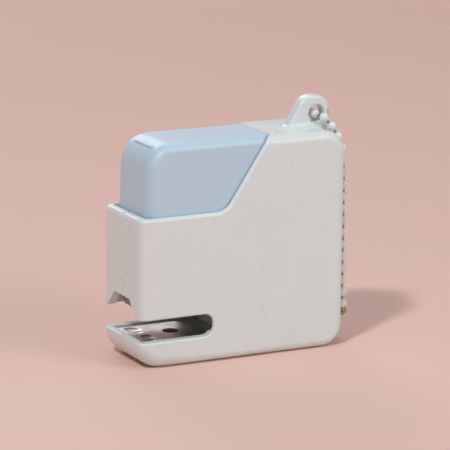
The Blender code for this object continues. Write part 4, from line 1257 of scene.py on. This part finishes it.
slit = add_node(chain_tree, "GeometryNodeTransform",
                {"Geometry": slit.outputs["Mesh"], "Translation": slit_place})
bead = add_node(chain_tree, "GeometryNodeMeshBoolean", {0: ball_and_collar.outputs["Mesh"]},
                operation="DIFFERENCE")
chain_tree.links.new(slit.outputs["Geometry"], bead.inputs[1])
tangent = add_node(chain_tree, "GeometryNodeInputTangent").outputs[0]
along = add_node(chain_tree, "FunctionNodeAlignRotationToVector", {"Vector": tangent}, axis="Z")
chance = add_node(chain_tree, "FunctionNodeRandomValue", {2: 0.0, 3: 6.283, "Seed": sizes["Seed"]},
                  data_type="FLOAT")
spin = add_node(chain_tree, "FunctionNodeAxisAngleToRotation",
                {"Axis": (0, 0, 1), "Angle": chance.outputs[1]})
spun = add_node(chain_tree, "FunctionNodeRotateRotation", {0: along.outputs[0], 1: spin.outputs[0]},
                rotation_space="LOCAL")
beads = add_node(chain_tree, "GeometryNodeInstanceOnPoints", {
    "Points": path.outputs["Curve"], "Instance": bead.outputs["Mesh"], "Rotation": spun.outputs[0]})
enamelled = add_node(chain_tree, "GeometryNodeSetMaterial", {"Geometry": beads.outputs["Instances"],
                                                             "Material": white_enamel})
link_round = add_node(chain_tree, "GeometryNodeCurvePrimitiveCircle",
                      {"Resolution": 10, "Radius": sizes["Link"]})
links = add_node(chain_tree, "GeometryNodeCurveToMesh", {"Curve": path.outputs["Curve"],
                                                         "Profile Curve": link_round.outputs["Curve"],
                                                         "Fill Caps": True})
bare_links = add_node(chain_tree, "GeometryNodeSetMaterial", {"Geometry": links.outputs["Mesh"],
                                                              "Material": link_brass})
chain_parts = add_node(chain_tree, "GeometryNodeJoinGeometry")
for part in (enamelled.outputs["Geometry"], bare_links.outputs["Geometry"]):
    chain_tree.links.new(part, chain_parts.inputs[0])
end_tree(chain_tree, chain_parts.outputs[0])

route_line = bpy.data.meshes.new("chain_route")
route_line.from_pydata(chain_route, [(i, i + 1) for i in range(len(chain_route) - 1)], [])
chain = grow("ball_chain_beads", chain_tree,
             {"Bead": BEAD * MM, "Link": 0.34 * MM, "Slit": 0.09 * MM, "Seed": 7},
             route_line)
smooth(chain, 40)
print("chain faces:", len(chain.data.polygons), "materials:", [m.name for m in chain.data.materials])

# %% [markdown]
# ## The chain connector
# The connector is a little sleeve rolled from brass strip, with rims turned in at its ends and an open
# slot along its outer side. The end bead of each chain tail snaps in through the slot. Its outside is
# sprayed with the chain, and its inside stays brass, which shows at the mouth.

# %% Chain connector
SLEEVE_TOP, SLEEVE_FOOT = Vector((60.6, -7.6, 9.2)), Vector((60.65, -3.0, 2.1))
SLEEVE_RADIUS, SLEEVE_WALL, SLEEVE_MOUTH = 1.6, 0.28, 1.0


def sleeve_profile(half):
    """(radius, distance) points from the outer rim over the wall to the inner rim."""
    outer = [(SLEEVE_MOUTH, half - 0.10), (SLEEVE_MOUTH + 0.12, half), (SLEEVE_RADIUS - 0.32, half - 0.02),
             (SLEEVE_RADIUS - 0.10, half - 0.18), (SLEEVE_RADIUS - 0.02, half - 0.45),
             (SLEEVE_RADIUS, half - 0.9)]
    waist = [(SLEEVE_RADIUS - 0.10, half * 0.35), (SLEEVE_RADIUS - 0.12, 0)]
    upper = outer + waist
    outside = upper + [(radius, -distance) for radius, distance in reversed(upper[:-1])]
    inner = [(SLEEVE_RADIUS - SLEEVE_WALL - 0.02, 0.45 - half), (SLEEVE_RADIUS - SLEEVE_WALL, 0),
             (SLEEVE_RADIUS - SLEEVE_WALL - 0.02, half - 0.45)]
    return outside, inner


def make_connector():
    length = (SLEEVE_TOP - SLEEVE_FOOT).length
    outside, inner = sleeve_profile(length / 2)
    sides = 48
    work = bmesh.new()
    rings = [[work.verts.new((radius * MM * math.cos(2 * math.pi * i / sides),
                              radius * MM * math.sin(2 * math.pi * i / sides), distance * MM))
              for i in range(sides)] for radius, distance in outside + inner]
    for number, ring in enumerate(rings):
        following = rings[(number + 1) % len(rings)]
        for i in range(sides):
            face = work.faces.new((ring[i - 1], ring[i], following[i], following[i - 1]))
            face.material_index = 1 if number >= len(outside) - 1 else 0
    sleeve = new_piece("chain_connector_sleeve", finish_mesh(work, "chain_connector_sleeve"),
                       white_enamel, link_brass)
    return sleeve, length


connector, sleeve_length = make_connector()
slot_work = bmesh.new()
bmesh.ops.create_cube(slot_work, size=1.0, matrix=Matrix.Translation((1.6 * MM, 0, 0))
                      @ Matrix.Diagonal((2.0 * MM, 0.8 * MM, sleeve_length * 0.98 * MM, 1)))
bmesh.ops.create_uvsphere(slot_work, u_segments=24, v_segments=12, radius=1.25 * MM,
                          matrix=Matrix.Translation((1.75 * MM, 0, 2.2 * MM)))
slot_mesh = bpy.data.meshes.new("slot_cutter")
slot_work.to_mesh(slot_mesh)
slot_work.free()
cut(connector, new_piece("slot_cutter", slot_mesh))
for place in (3.15, -3.15):
    ball_piece = egg("end_bead", (0, 0, 0), (BEAD / 2, BEAD / 2, BEAD / 2))
    ball_piece.data.transform(Matrix.Translation(Vector((0, 0, place * MM)) - at(0, 0, 0)))
    paint(ball_piece, link_brass)
    join(connector, ball_piece)
upright = (SLEEVE_TOP - SLEEVE_FOOT).to_track_quat("Z", "Y").to_matrix().to_4x4()
connector.data.transform(Matrix.Translation(at(*((SLEEVE_TOP + SLEEVE_FOOT) / 2))) @ upright)
smooth(connector, 40)
print("connector materials:", [m.name if m else None for m in connector.data.materials])

for piece, node in ((chain, "ball_chain"), (connector, "chain_connector")):
    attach(piece, "key_chain")
    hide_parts(node)

# %% [markdown]
# ## The plain parts that stay
# The inner rail, the rod, the pusher, the pins and the blade already have their true shapes, so they
# stay as they are and only get their metals and plastics.

# %% Finishes for the parts that stay
STAYING = {"staple_rail": magazine_steel, "guide_rod": blade_steel, "driver_blade": blade_steel,
           "blade_screw": screw_zinc, "magazine_pin_right": screw_zinc, "magazine_pin_left": screw_zinc,
           "staple_pusher": grey_abs, "spring_seat": grey_abs}
for node, finish in STAYING.items():
    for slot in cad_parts[node].material_slots:
        slot.material = finish
print("plain parts with a finish:", len(STAYING))
